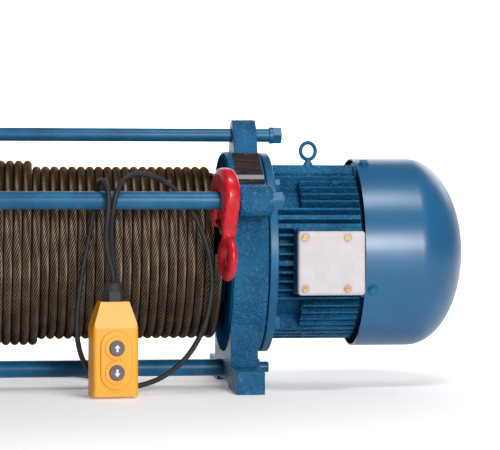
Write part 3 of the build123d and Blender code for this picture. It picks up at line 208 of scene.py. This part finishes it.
class Finish:
    """A material with its Principled shader, and the one method that adds nodes to it."""

    def __init__(self, name, slot, colour=(0.5, 0.5, 0.5), **fixed):
        self.slot = slot
        self.material = bpy.data.materials.new(name)
        self.material.use_nodes = True
        self.tree = self.material.node_tree
        self.shader = self.tree.nodes["Principled BSDF"]
        self.place = self.node("ShaderNodeTexCoord", output="Object")
        self.feed(self.shader.inputs["Base Color"], (*colour, 1.0))
        for socket, value in fixed.items():
            self.feed(self.shader.inputs[self.label(socket)], value)

    def label(self, word):
        """The shader's own name of a socket: base_color is Base Color."""
        return word.replace("_", " ").title().replace("Ior", "IOR")

    def feed(self, socket, value):
        if isinstance(value, Signal):
            self.tree.links.new(value.socket, socket)
        else:
            socket.default_value = value

    def node(self, kind, settings=None, inputs=None, output=0):
        """Any other node: its options are set first, and then its sockets are fed."""
        made = self.tree.nodes.new(kind)
        for option, value in (settings or {}).items():
            setattr(made, option, value)
        for socket, value in (inputs or {}).items():
            self.feed(made.inputs[socket], value)
        return Signal(self, made.outputs[output])

    def noise(self, size, detail=2.0, roughness=0.5, where=None):
        """Cloudy noise whose patches are about this many millimetres across."""
        return self.node("ShaderNodeTexNoise", None, {
            "Vector": where or self.place, "Scale": 1.0 / (size * MM),
            "Detail": detail, "Roughness": roughness})

    def cells(self, size):
        """Rounded distance to the middle of cells this many millimetres apart."""
        return self.node("ShaderNodeTexVoronoi", {"feature": "SMOOTH_F1"}, {
            "Vector": self.place, "Scale": 1.0 / (size * MM)})

    def axis(self, letter):
        """One coordinate of the surface, in metres."""
        return self.node("ShaderNodeSeparateXYZ", None, {0: self.place}, letter)

    def mix(self, factor, first, second):
        """Blends two colours."""
        def full(colour):
            return colour if isinstance(colour, Signal) else (*colour, 1.0)
        return self.node("ShaderNodeMix", {"data_type": "RGBA"}, {
            0: factor, 6: full(first), 7: full(second)}, output=2)

    def bump(self, height, depth, strength=1.0):
        """A normal that leans as the height does; depth is in millimetres."""
        return self.node("ShaderNodeBump", None, {
            "Height": height, "Distance": depth * MM, "Strength": strength})

    def set(self, **outputs):
        """Feeds the shader's own sockets, such as base_color=... or roughness=..."""
        for socket, value in outputs.items():
            self.feed(self.shader.inputs[self.label(socket)], value)
        return self


def dress(piece, finish):
    """Gives a piece, or a CAD node by name, this finish."""
    piece = nodes[piece] if isinstance(piece, str) else piece
    piece.data.materials.clear()
    piece.data.materials.append(finish.material)
    "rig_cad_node" not in piece
    return piece

# %% [markdown]
# ## Blue paint on castings, rods and sheet
# One blue covers three very different grounds. On the castings it follows the skin of the sand
# mould: bumps a few millimetres wide with finer grain on them, which break every highlight
# into specks, and the tops of the bumps are painted paler, as painted highlight specks. On rods,
# bolts and turned rings it is smooth, with slight brush marks. On the pressed cowl it is thin
# and satin. A real paint is never one blue, so slow clouds shift it, and it is a little darker
# where dust sits. The drum is only primed, and worn dull by the rope.
# Four finishes with shared steps say all this.

# %% The four blues
DEEP_BLUE = (0.005, 0.075, 0.172)
MID_BLUE = (0.009, 0.118, 0.252)
SPECK_HIGHLIGHT_BLUE = (0.030, 0.235, 0.450)
COWL_BLUES = (0.006, 0.088, 0.200), (0.008, 0.105, 0.235)
PRIMER_BLUE = (0.003, 0.050, 0.125)


def cast_blue():
    """Blue enamel over a sand-cast skin."""
    f = Finish("blue_over_casting", "blue_casting", MID_BLUE, specular_ior_level=0.22)
    lumps = f.noise(6.0, 3.0, 0.6)
    pits = f.cells(2.6)
    grain = f.noise(0.9, 2.0, 0.6)
    clouds = f.noise(60.0, 3.0)
    height = lumps * 0.9 + pits * 0.5 + grain * 0.14
    shade = f.mix(clouds.between(0.35, 0.65), DEEP_BLUE, MID_BLUE)
    # The tops of the lumps are painted a paler blue: painted highlight specks.
    shade = f.mix(lumps.between(0.54, 0.72) * 0.6, shade, SPECK_HIGHLIGHT_BLUE)
    return f.set(
        base_color=shade, roughness=grain.between(0.2, 0.8) * 0.2 + 0.26,
        normal=f.bump(height, 3.8, 1.0))


def smooth_blue():
    """Brushed blue enamel over turned or rolled steel."""
    f = Finish("blue_over_steel", "blue_paint", MID_BLUE, specular_ior_level=0.3)
    clouds = f.noise(45.0, 3.0)
    skin = f.noise(5.0, 2.0)
    dust = f.noise(1.2, 2.0)
    shade = f.mix(clouds.between(0.3, 0.7), DEEP_BLUE, MID_BLUE)
    return f.set(
        base_color=shade, roughness=dust * 0.14 + 0.3,
        normal=f.bump(skin + dust * 0.1, 0.35, 0.6))


def sheet_blue():
    """Satin blue spray over a pressed sheet cowl."""
    f = Finish("blue_over_sheet", "blue_sheet", MID_BLUE, specular_ior_level=0.6)
    clouds = f.noise(90.0, 2.0)
    spray = f.noise(0.7, 2.0)
    dents = f.noise(35.0, 1.0)
    shade = f.mix(clouds.between(0.3, 0.7), *COWL_BLUES)
    return f.set(
        base_color=shade, roughness=spray * 0.1 + 0.27,
        normal=f.bump(dents + spray * 0.05, 0.5, 0.5))


def dull_blue():
    """Blue primer on the drum, worn dull by the rope and by dust."""
    f = Finish("dull_blue_primer", "blue_paint", DEEP_BLUE, specular_ior_level=0.0)
    clouds = f.noise(40.0, 3.0)
    dust = f.noise(1.4, 2.0)
    shade = f.mix(clouds.between(0.3, 0.7), PRIMER_BLUE, DEEP_BLUE)
    return f.set(
        base_color=shade, roughness=dust * 0.2 + 0.6,
        normal=f.bump(clouds + dust * 0.2, 0.3, 0.6))


blue_casting = cast_blue()
blue_steel = smooth_blue()
blue_sheet = sheet_blue()
blue_drum = dull_blue()
print("blue finishes:",
      [f.material.name for f in (blue_casting, blue_steel, blue_sheet, blue_drum)])

# %% [markdown]
# ## Metals, plastics and rubber
# The small parts give the eye its sense of scale. Bare steel shows fine turning marks, zinc is
# cloudy, brass screws are bright on top, mouldings have a fine spark texture, and rubber is
# dull with a little bloom. Each one is a colour that drifts, a roughness that drifts, and a
# bump of the right grain, so one function makes them all from a few numbers.

# %% The finishes of the small parts
def worked(name, slot, colour, other, roughness, grain, depth, metallic=0.0, spread=0.12,
           cloud=18.0, **fixed):
    """A finish with drifting colour, drifting gloss and a fine grain, sizes in millimetres."""
    f = Finish(name, slot, colour, metallic=metallic, **fixed)
    clouds = f.noise(cloud, 3.0)
    fine = f.noise(grain, 2.0, 0.6)
    shade = f.mix(clouds.between(0.3, 0.7) * 0.7 + fine * 0.3, colour, other)
    return f.set(
        base_color=shade, roughness=fine * spread + roughness,
        normal=f.bump(fine + clouds * 0.3, depth, 0.5))


turned_steel = worked("turned_steel", "bare_steel", (0.42, 0.42, 0.43), (0.55, 0.55, 0.56),
                      0.24, 0.5, 0.05, 1.0)
zinc = worked("cloudy_zinc", "zinc_steel", (0.20, 0.20, 0.21), (0.32, 0.32, 0.33),
              0.34, 0.8, 0.06, 1.0)
brass = worked("turned_brass", "brass", (0.16, 0.10, 0.045), (0.30, 0.20, 0.09),
               0.34, 0.8, 0.2, 1.0, cloud=3.0)
copper = worked("enamelled_copper", "copper", (0.45, 0.17, 0.07), (0.62, 0.28, 0.12),
                0.3, 0.8, 0.1, 1.0, cloud=6.0)
cover_grey = worked("pale_grey_moulding", "grey_moulding", (0.47, 0.435, 0.445),
                    (0.53, 0.495, 0.505), 0.42, 0.7, 0.06, spread=0.2)
rubber = worked("dull_rubber", "black_rubber", (0.010, 0.010, 0.011), (0.022, 0.022, 0.023),
                0.55, 0.9, 0.08, spread=0.2)
nylon = worked("black_nylon", "black_plastic", (0.012, 0.012, 0.014), (0.028, 0.028, 0.031),
               0.34, 0.6, 0.05, spread=0.2)
button_plastic = worked("dark_button", "button_grey", (0.060, 0.050, 0.062),
                        (0.095, 0.082, 0.098), 0.34, 0.6, 0.04, spread=0.15)
arrow_white = worked("arrow_print", "grey_moulding", (0.72, 0.70, 0.72), (0.80, 0.79, 0.80),
                     0.42, 0.5, 0.02)
yellow = worked("yellow_moulding", "yellow_moulding", (0.76, 0.30, 0.002),
                (0.82, 0.345, 0.004), 0.32, 0.8, 0.07, spread=0.16, cloud=40.0)
jacket = worked("cable_jacket", "cable_jacket", (0.012, 0.012, 0.013), (0.026, 0.026, 0.028),
                0.38, 1.6, 0.12, spread=0.2, specular_ior_level=0.25)

# %% [markdown]
# The hook is a forging dipped in red enamel. The paint is thick and glossy, and its surface
# rolls a little over the scale of the forging; the hollows of those rolls are painted darker, as
# painted shade. The plate on the end frame is dark brown and brushed across, with one pale band
# near its lower edge. The band's place is a share of the plate's own box, so that it stays where
# it is if the plate grows.

# %% Red enamel and the bare dark plate
PLATE_BAND = (0.12, 0.26)
plate_low, plate_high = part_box("blank_plate")
BAND_Y = [plate_low[1] + share * (plate_high[1] - plate_low[1]) for share in PLATE_BAND]
print("plate from", plate_low, "to", plate_high)


def red_enamel():
    """Thick red enamel over a forging."""
    f = Finish("red_enamel", "red_paint", (0.52, 0.004, 0.014), coat_roughness=0.12,
               specular_ior_level=0.3)
    waves_and_shade = f.noise(6.0, 2.0)
    scale = f.noise(1.6, 2.0)
    # Darker red where the waves are low: painted shade in the hollows of the bumped surface.
    shade = f.mix(waves_and_shade.between(0.35, 0.65), (0.42, 0.003, 0.010), (0.56, 0.005, 0.016))
    return f.set(
        base_color=shade, roughness=scale * 0.12 + 0.3, coat_weight=0.3,
        normal=f.bump(waves_and_shade + scale * 0.15, 0.4, 0.5))


def plate_brown():
    """A dark plate, brushed across, with one pale band near its lower edge."""
    f = Finish("dark_bare_plate", "dark_plate", (0.05, 0.035, 0.035), specular_ior_level=0.25)
    across = f.node("ShaderNodeMapping", None, {"Vector": f.place, "Scale": (0.08, 1.0, 1.0)})
    brush = f.noise(2.2, 2.0, where=across)
    cloud = f.noise(14.0)
    shade = f.mix(cloud.between(0.3, 0.7), (0.010, 0.005, 0.005), (0.022, 0.012, 0.012))
    shade = f.mix(brush.between(0.5, 0.6) * 0.6, shade, (0.095, 0.060, 0.056))
    back = f.axis("Y")
    band = (back < BAND_Y[1]) * (back > BAND_Y[0])
    shade = f.mix(band, shade, (0.30, 0.29, 0.33))
    return f.set(
        base_color=shade, roughness=brush * 0.2 + 0.45, normal=f.bump(brush, 0.1, 0.6))


red = red_enamel()
plate_dark = plate_brown()
print("finishes so far:", len(bpy.data.materials))

# %% [markdown]
# ## Floor and light
# The winch stands on a plain pale floor that curves up into a backdrop, as in a photographer's
# studio, so no horizon line cuts the picture. The floor is one plane whose far edge is extruded
# upwards, with the fold bevelled round, and it stands far enough back that the winch can be
# walked round. Light comes from a soft lamp in front, near the camera's height, which puts the
# highlights in the middle of rods and rope, a weaker one above, a faint one from behind that
# draws the rims, and one that only lights the backdrop. The pale room fills the shadows.

# %% Sweep the backdrop
FLOOR_HALF = 8.0
BACKDROP_AT = 6.0
BACKDROP_RISE = 5.0
SWEEP_ROUND = 2.0


def select_edges(piece, wanted):
    """In edit mode: selects the edges whose points all pass this test."""
    bpy.ops.mesh.select_all(action="DESELECT")
    shape = bmesh.from_edit_mesh(piece.data)
    for edge in shape.edges:
        edge.select = all(wanted(v.co) for v in edge.verts)
    shape.select_flush_mode()
    bmesh.update_edit_mesh(piece.data)


clear_selection()
bpy.ops.mesh.primitive_plane_add(size=2 * FLOOR_HALF, location=(0, BACKDROP_AT - FLOOR_HALF, 0))
backdrop = bpy.context.object
backdrop.name = "studio_floor"
settle(backdrop)
bpy.ops.object.mode_set(mode="EDIT")
select_edges(backdrop, lambda place: place.y > BACKDROP_AT - MM)
bpy.ops.mesh.extrude_region_move(TRANSFORM_OT_translate={"value": (0, 0, BACKDROP_RISE)})
select_edges(backdrop, lambda place: place.y > BACKDROP_AT - MM and place.z < MM)
bpy.ops.mesh.bevel(offset=SWEEP_ROUND, segments=16, affect="EDGES")
bpy.ops.object.mode_set(mode="OBJECT")
smooth(backdrop, 60)

PAPER_GLOW = 0.16
paper = worked("studio_paper", "studio", (0.92, 0.92, 0.92), (0.93, 0.93, 0.93),
               0.6, 3.0, 0.02, cloud=400.0)
paper.set(emission_color=(1.0, 1.0, 1.0, 1.0), emission_strength=PAPER_GLOW)
backdrop.data.materials.append(paper.material)
print("backdrop faces:", len(backdrop.data.polygons))

# %% Hang the lamps
def lamp(name, place, aim, size, power):
    """A square soft lamp that looks at a point; sizes in metres, power in watts."""
    light = bpy.data.lights.new(name, "AREA")
    light.size, light.energy = size, power
    holder = bpy.data.objects.new(name, light)
    holder.location = place
    holder.rotation_euler = (Vector(aim) - Vector(place)).to_track_quat("-Z", "Y").to_euler()
    bpy.context.scene.collection.objects.link(holder)
    return holder


MIDDLE = (0.1, 0.0, 0.2)
lamp("front_lamp", (0.7, -2.7, 0.75), MIDDLE, 0.7, 50.0)
lamp("top_lamp", (0.6, -0.9, 2.2), MIDDLE, 0.6, 20.0)
lamp("rim_lamp", (1.6, 1.4, 1.2), MIDDLE, 1.0, 6.0)
lamp("backdrop_lamp", (0.3, 2.6, 3.2), (0.3, 5.6, 0.6), 2.5, 340.0)

ROOM_COLOUR, ROOM_STRENGTH = (0.97, 0.98, 1.0, 1.0), 0.18
room = bpy.data.worlds.new("pale_room")
room.use_nodes = True
sky = room.node_tree.nodes["Background"]
sky.inputs["Color"].default_value = ROOM_COLOUR
sky.inputs["Strength"].default_value = ROOM_STRENGTH
bpy.context.scene.world = room
bpy.context.scene.view_settings.view_transform = "Standard"

# %% [markdown]
# ## The control cable
# A round rubber cable joins the push button pendant to the control box at the back of the left
# end frame. It is 1.8 m long and 7.5 mm thick. It drops out of its gland, lies in loose curves
# on the floor under the drum, comes up at the front, is thrown once over the front tie rod, and
# ends in the gland of the pendant. A cable has no corners, so its route is one NURBS spline
# whose control points are the bends of the solid cable in the CAD source.

# %% Lay the cable
CABLE_D = 0.0075
CABLE_EXIT = (-0.20425, 0.176, 0.088)
CABLE_END = (0.046, -0.200, 0.159)
CABLE_BENDS_MM = [
    (-204, 176, 66), (-202, 175, 38), (-190, 172, 14), (-160, 169, 5), (-112, 171, 4.2),
    (-62, 167, 4.4), (-14, 158, 4.2), (20, 132, 4.4), (35, 92, 4.2), (39, 44, 4.2),
    (41, -6, 4.4), (43, -54, 4.2), (46, -96, 4.2), (48, -122, 8), (49, -140, 26),
    (50, -150, 58), (51, -161, 100), (51, -170, 146), (47, -180, 186), (43, -192, 224),
    (45, -201, 256), (50, -203, 282), (60, -196, 302), (78, -184, 311), (102, -173, 308),
    (128, -163, 295), (150, -158, 274), (168, -156, 244), (182, -157, 208), (188, -159, 170),
    (186, -161, 132), (177, -164, 96), (161, -166, 64), (138, -167, 38), (109, -167, 20),
    (78, -166, 11), (48, -165, 11), (22, -164, 24), (5, -163, 48), (-3, -162, 82),
    (-2, -160, 122), (4, -159, 166), (12, -157, 208), (18, -158, 238), (22, -157, 262),
    (24, -156, 280), (27, -163, 294), (31, -177, 301), (35, -192, 299), (38, -203, 289),
    (40, -206, 274), (39, -206, 254), (36, -204, 230), (37, -202, 206), (42, -200, 186),
    (46, -200, 172)]
cable_route = [CABLE_EXIT, *((x * MM, y * MM, z * MM) for x, y, z in CABLE_BENDS_MM), CABLE_END]


def smooth_line(name, points, thickness, rings=4):
    """A round tube along one smooth NURBS line with these control points."""
    line = bpy.data.curves.new(name, "CURVE")
    line.dimensions = "3D"
    run = line.splines.new("NURBS")
    run.points.add(len(points) - 1)
    for knot, place in zip(run.points, points):
        knot.co = (*place, 1.0)
    run.order_u = 3
    run.use_endpoint_u = True
    run.resolution_u = 6
    line.bevel_depth = thickness / 2
    line.bevel_resolution = rings
    line.use_fill_caps = True
    tube = bpy.data.objects.new(name, line)
    bpy.context.scene.collection.objects.link(tube)
    return tube


cable = smooth_line("control_cable_run", cable_route, CABLE_D)
cable.data.materials.append(jacket.material)
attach(cable, "frame")
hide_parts("control_cable")
print("cable bends:", len(CABLE_BENDS_MM))

# %% [markdown]
# ## The wire rope on the drum
# The rope is 13 mm thick. Ten outer strands are laid round it to the right, one full turn in
# 79 mm, and it is wound wrap against wrap, with a second layer at the gearbox end. A texture
# would show no strands along the outline, so the strands are real: a section with ten lobes
# is carried along a helix and turned a little more at each step, which lays the lobes round the
# rope. A value called crown is kept on each point, 0 between two strands and 1 on a strand, and
# the finish reads it to paint the gaps near black, as painted shade together with the dark
# grease.
# The rope is cut into four pieces, so that each mesh stays light, and the layers below, which
# show only through the gaps, are a copy of the ridged solid, sunk out of the strands' way.

# %% The bronze grease on the wires
ROPE_D = 13 * MM
ROPE_PITCH = 13 * MM
STRANDS = 10
LAY_LENGTH = 79 * MM
STEPS_PER_LAY = 17
LOBE = (0.70, 0.90, 1.0, 0.98, 0.90)


def rope_bronze():
    """Greased steel wire: tan metal on the strands, near black between them as painted shade
    with the grease.
    """
    f = Finish("greased_wire", "rope_wire", (0.10, 0.07, 0.05), metallic=1.0,
               specular_tint=(0.45, 0.33, 0.24, 1.0))
    crown = f.node("ShaderNodeAttribute", {"attribute_name": "crown"}, output="Fac")
    wires = f.noise(1.1, 2.0, 0.6)
    grease = f.noise(24.0, 3.0)
    shade = f.mix(grease.between(0.3, 0.7), (0.20, 0.140, 0.100), (0.31, 0.23, 0.170))
    # Near black where crown is low: painted shade between the strands, together with the dark
    # grease there.
    shade = f.mix(crown.between(0.45, 0.95), (0.003, 0.002, 0.002), shade)
    return f.set(
        base_color=shade, roughness=wires * 0.14 + 0.28, normal=f.bump(wires, 0.08, 0.5))


rope_finish = rope_bronze()

# %% A run of twisted rope
DRUM_AXIS_Z = 196.5 * MM
ROPE_START_X = -201.5 * MM
SMOOTH_OVER_STRANDS = 75


def wind(name, first_wrap, wraps, middle_r):
    """A run of rope wraps that touch, counted from the left, about the drum's axis."""
    corners = STRANDS * len(LOBE)
    wrap_length = math.hypot(2 * math.pi * middle_r, ROPE_PITCH)
    lays_per_wrap = wrap_length / LAY_LENGTH
    steps = round(wraps * lays_per_wrap * STEPS_PER_LAY)
    places, crowns = [], []
    for step in range(steps + 1):
        wrap = first_wrap + wraps * step / steps
        turned = 2 * math.pi * wrap
        outwards = Vector((0, -math.cos(turned), math.sin(turned)))
        middle = outwards * middle_r + Vector(
            (ROPE_START_X + ROPE_PITCH * wrap, 0, DRUM_AXIS_Z))
        laid = turned * lays_per_wrap
        for corner in range(corners):
            angle = 2 * math.pi * corner / corners + laid
            lobe = LOBE[corner % len(LOBE)]
            places.append(middle + ROPE_D / 2 * lobe * (
                outwards * math.cos(angle) + Vector((math.sin(angle), 0, 0))))
            crowns.append((lobe - LOBE[0]) / (1.0 - LOBE[0]))
    faces = [(ring * corners + a, ring * corners + b, (ring + 1) * corners + b,
              (ring + 1) * corners + a)
             for ring in range(steps) for a, b in
             ((corner, (corner + 1) % corners) for corner in range(corners))]
    faces += [tuple(range(corners)), tuple(range(steps * corners, (steps + 1) * corners))]
    mesh = bpy.data.meshes.new(name)
    mesh.from_pydata(places, [], faces)
    mesh.attributes.new("crown", "FLOAT", "POINT").data.foreach_set("value", crowns)
    rope = bpy.data.objects.new(name, mesh)
    bpy.context.scene.collection.objects.link(rope)
    take(rope)
    bpy.ops.object.mode_set(mode="EDIT")
    bpy.ops.mesh.select_all(action="SELECT")
    bpy.ops.mesh.normals_make_consistent(inside=False)
    bpy.ops.object.mode_set(mode="OBJECT")
    smooth(rope, SMOOTH_OVER_STRANDS)
    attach(rope, "drum")
    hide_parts("wire_rope")
    return count(dress(rope, rope_finish))

# %% Lay the inner layers and wind the rope over them
DRUM_BARREL_R = 100 * MM
LOWER_CREST_R = 128 * MM


def inner_layers(name, sunk):
    """The layers below: a copy of the ridged solid, sunk under the wraps that are laid on it."""
    core = merged_copy("wire_rope", name)
    for vertex in core.data.vertices:
        out = Vector((0, vertex.co.y, vertex.co.z - DRUM_AXIS_Z))
        depth = sunk if out.length < LOWER_CREST_R else 2 * sunk
        if out.length > DRUM_BARREL_R:
            out *= (out.length - depth) / out.length
            vertex.co.y, vertex.co.z = out.y, out.z + DRUM_AXIS_Z
    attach(core, "drum")
    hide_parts("wire_rope")
    return count(dress(core, rope_finish))


LOWER_R = 121 * MM
UPPER_R = 129.5 * MM
inner_layers("rope_inner_layers", 9 * MM)
wind("rope_wraps_left", 0, 11, LOWER_R)
wind("rope_wraps_middle", 11, 10, LOWER_R)
wind("rope_wraps_right", 21, 10, LOWER_R)
wind("rope_wraps_upper", 0, 11, UPPER_R)

# %% [markdown]
# ## Softening the castings and the forging
# A sand casting has no sharp edge and no flat face: its surface is a little lumpy, as the mould
# was. A forged hook is round all over. For both, a copy of the solid is merged and remeshed
# into small even squares, and then smoothed, which melts its edges. Melting also thins a slim
# shape, so the hook is swollen back to its size. The castings are instead pushed a little
# inwards by a cloud texture, so that even their outline is uneven.

# %% A softened copy of a solid
MELT_FACTOR = 0.5
MOSTLY_INWARDS = 0.9


def soften(node, name, body, finish, voxel, rounds, lumps=0.0, lump_size=6.0, fuller=0.0):
    """Replaces a CAD node by a softened copy; sizes in millimetres."""
    piece = merged_copy(node, name)
    grid = piece.modifiers.new("grid", "REMESH")
    grid.mode, grid.voxel_size = "VOXEL", voxel * MM
    melt = piece.modifiers.new("melt", "SMOOTH")
    melt.factor, melt.iterations = MELT_FACTOR, rounds
    if fuller:
        swell = piece.modifiers.new("swell", "DISPLACE")
        swell.strength, swell.mid_level = fuller * MM, 0.0
    if lumps:
        skin = bpy.data.textures.new(name + "_skin", "CLOUDS")
        skin.noise_scale = lump_size * MM
        push = piece.modifiers.new("push", "DISPLACE")
        push.texture, push.strength, push.mid_level = skin, lumps * MM, MOSTLY_INWARDS
    finish_modifiers(piece)
    take(piece)
    bpy.ops.object.shade_smooth()
    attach(piece, body)
    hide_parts(node)
    return count(dress(piece, finish))


soften("load_hook", "forged_hook", "hook", red, 1.4, 60, fuller=1.3)
soften("right_end_frame", "cast_end_frame_right", "frame", blue_casting, 2.2, 3, 0.9)
soften("left_end_frame", "cast_end_frame_left", "frame", blue_casting, 2.4, 3, 0.9)

# %% [markdown]
# ## Arrows on the buttons
# The two buttons carry plain arrows, up and down, filled in white. One arrow is drawn as a flat
# polygon with seven corners, extruded to a thin plate whose edges are bevelled, turned with the
# pendant and sunk into the button's face, so that it moves in and out with the button.

# %% Print the arrows
PENDANT_TURN = math.radians(8)
ARROW_CORNERS = [(0, 5.2), (4.2, 0.4), (1.5, 0.4), (1.5, -4.8), (-1.5, -4.8), (-1.5, 0.4),
                 (-4.2, 0.4)]
ARROW_SUNK, ARROW_PROUD = 0.3, 0.25
ARROW_BEVEL = 0.1 * MM
BUTTON_FACE_DEPTH = 0.5 * MM


def arrow(name, button, direction):
    """A thin arrow on a button's face; direction is 1 for up and -1 for down."""
    low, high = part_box(button)
    middle = Vector(((low[0] + high[0]) / 2, (low[1] + high[1]) / 2, (low[2] + high[2]) / 2))
    turned = Matrix.Rotation(PENDANT_TURN, 4, "Z")
    corners = [turned.inverted() @ (v.co - middle) for v in nodes[button].data.vertices]
    face_y = min(corner.y for corner in corners)
    face = [corner for corner in corners if corner.y < face_y + BUTTON_FACE_DEPTH]
    centre_x = (min(c.x for c in face) + max(c.x for c in face)) / 2
    mesh = bpy.data.meshes.new(name)
    mesh.from_pydata([(centre_x + x * MM, face_y + ARROW_SUNK * MM, direction * z * MM)
                      for x, z in ARROW_CORNERS], [], [tuple(range(len(ARROW_CORNERS)))])
    piece = bpy.data.objects.new(name, mesh)
    piece.matrix_world = Matrix.Translation(middle) @ turned
    bpy.context.scene.collection.objects.link(piece)
    settle(piece)
    bpy.ops.object.mode_set(mode="EDIT")
    bpy.ops.mesh.select_all(action="SELECT")
    outwards = turned @ Vector((0, -(ARROW_SUNK + ARROW_PROUD) * MM, 0))
    bpy.ops.mesh.extrude_region_move(TRANSFORM_OT_translate={"value": outwards})
    bpy.ops.mesh.bevel(offset=ARROW_BEVEL, segments=1, affect="EDGES")
    bpy.ops.mesh.select_all(action="SELECT")
    bpy.ops.mesh.normals_make_consistent(inside=False)
    bpy.ops.object.mode_set(mode="OBJECT")
    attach(piece, button)
    return count(dress(piece, arrow_white))


arrow("up_arrow", "up_button", 1)
arrow("down_arrow", "down_button", -1)

# %% [markdown]
# ## Dressing the solids that keep their shape
# Many parts of the CAD model already have the right form: screws, rods, gears, bearings. They
# stay as they are and only get their finish. The list goes by finish, so that one look at it
# tells what is made of what.

# %% Dress the CAD nodes
FINISHES = {
    blue_casting: ["motor_housing", "gearbox_cover", "terminal_box", "motor_rear_shield",
                   "control_box", "control_box_lid"],
    blue_drum: ["rope_drum"],
    blue_steel: ["motor_flange", "top_tie_rod", "front_tie_rod", "back_tie_rod",
                 "bottom_tie_rod", "flange_bolts", "gearbox_cover_bolts", "cowl_screws",
                 "tie_rod_nuts", "tie_rod_washers", "top_rod_bolts", "top_rod_spring_washers",
                 "eye_bolt"],
    blue_sheet: ["fan_cowl"],
    turned_steel: ["drum_bearings", "motor_bearings", "shaft_end_bearing", "rotor_shaft",
                   "rotor_core", "stator_core", "sun_pinion", "idler_gear_1", "idler_gear_2",
                   "idler_gear_3", "idler_axles", "ring_gear", "brake_disc"],
    zinc: ["plate_rivets", "latch_pin", "hook_latch", "pendant_screws", "gearbox_oil_plugs"],
    brass: ["terminal_box_screws"],
    copper: ["stator_windings"],
    cover_grey: ["terminal_box_cover"],
    rubber: ["terminal_box_gasket", "control_box_glands", "pendant_gland"],
    nylon: ["cooling_fan", "brake_coil", "contactor", "switch_blocks", "terminal_block"],
    button_plastic: ["up_button", "down_button"],
    yellow: ["pendant_front_shell", "pendant_back_shell"],
    plate_dark: ["blank_plate"],
}
for finish, names in FINISHES.items():
    for name in names:
        dress(name, finish)
listed = {name for names in FINISHES.values() for name in names}
print("nodes that new pieces replace:", sorted(set(nodes) - listed))
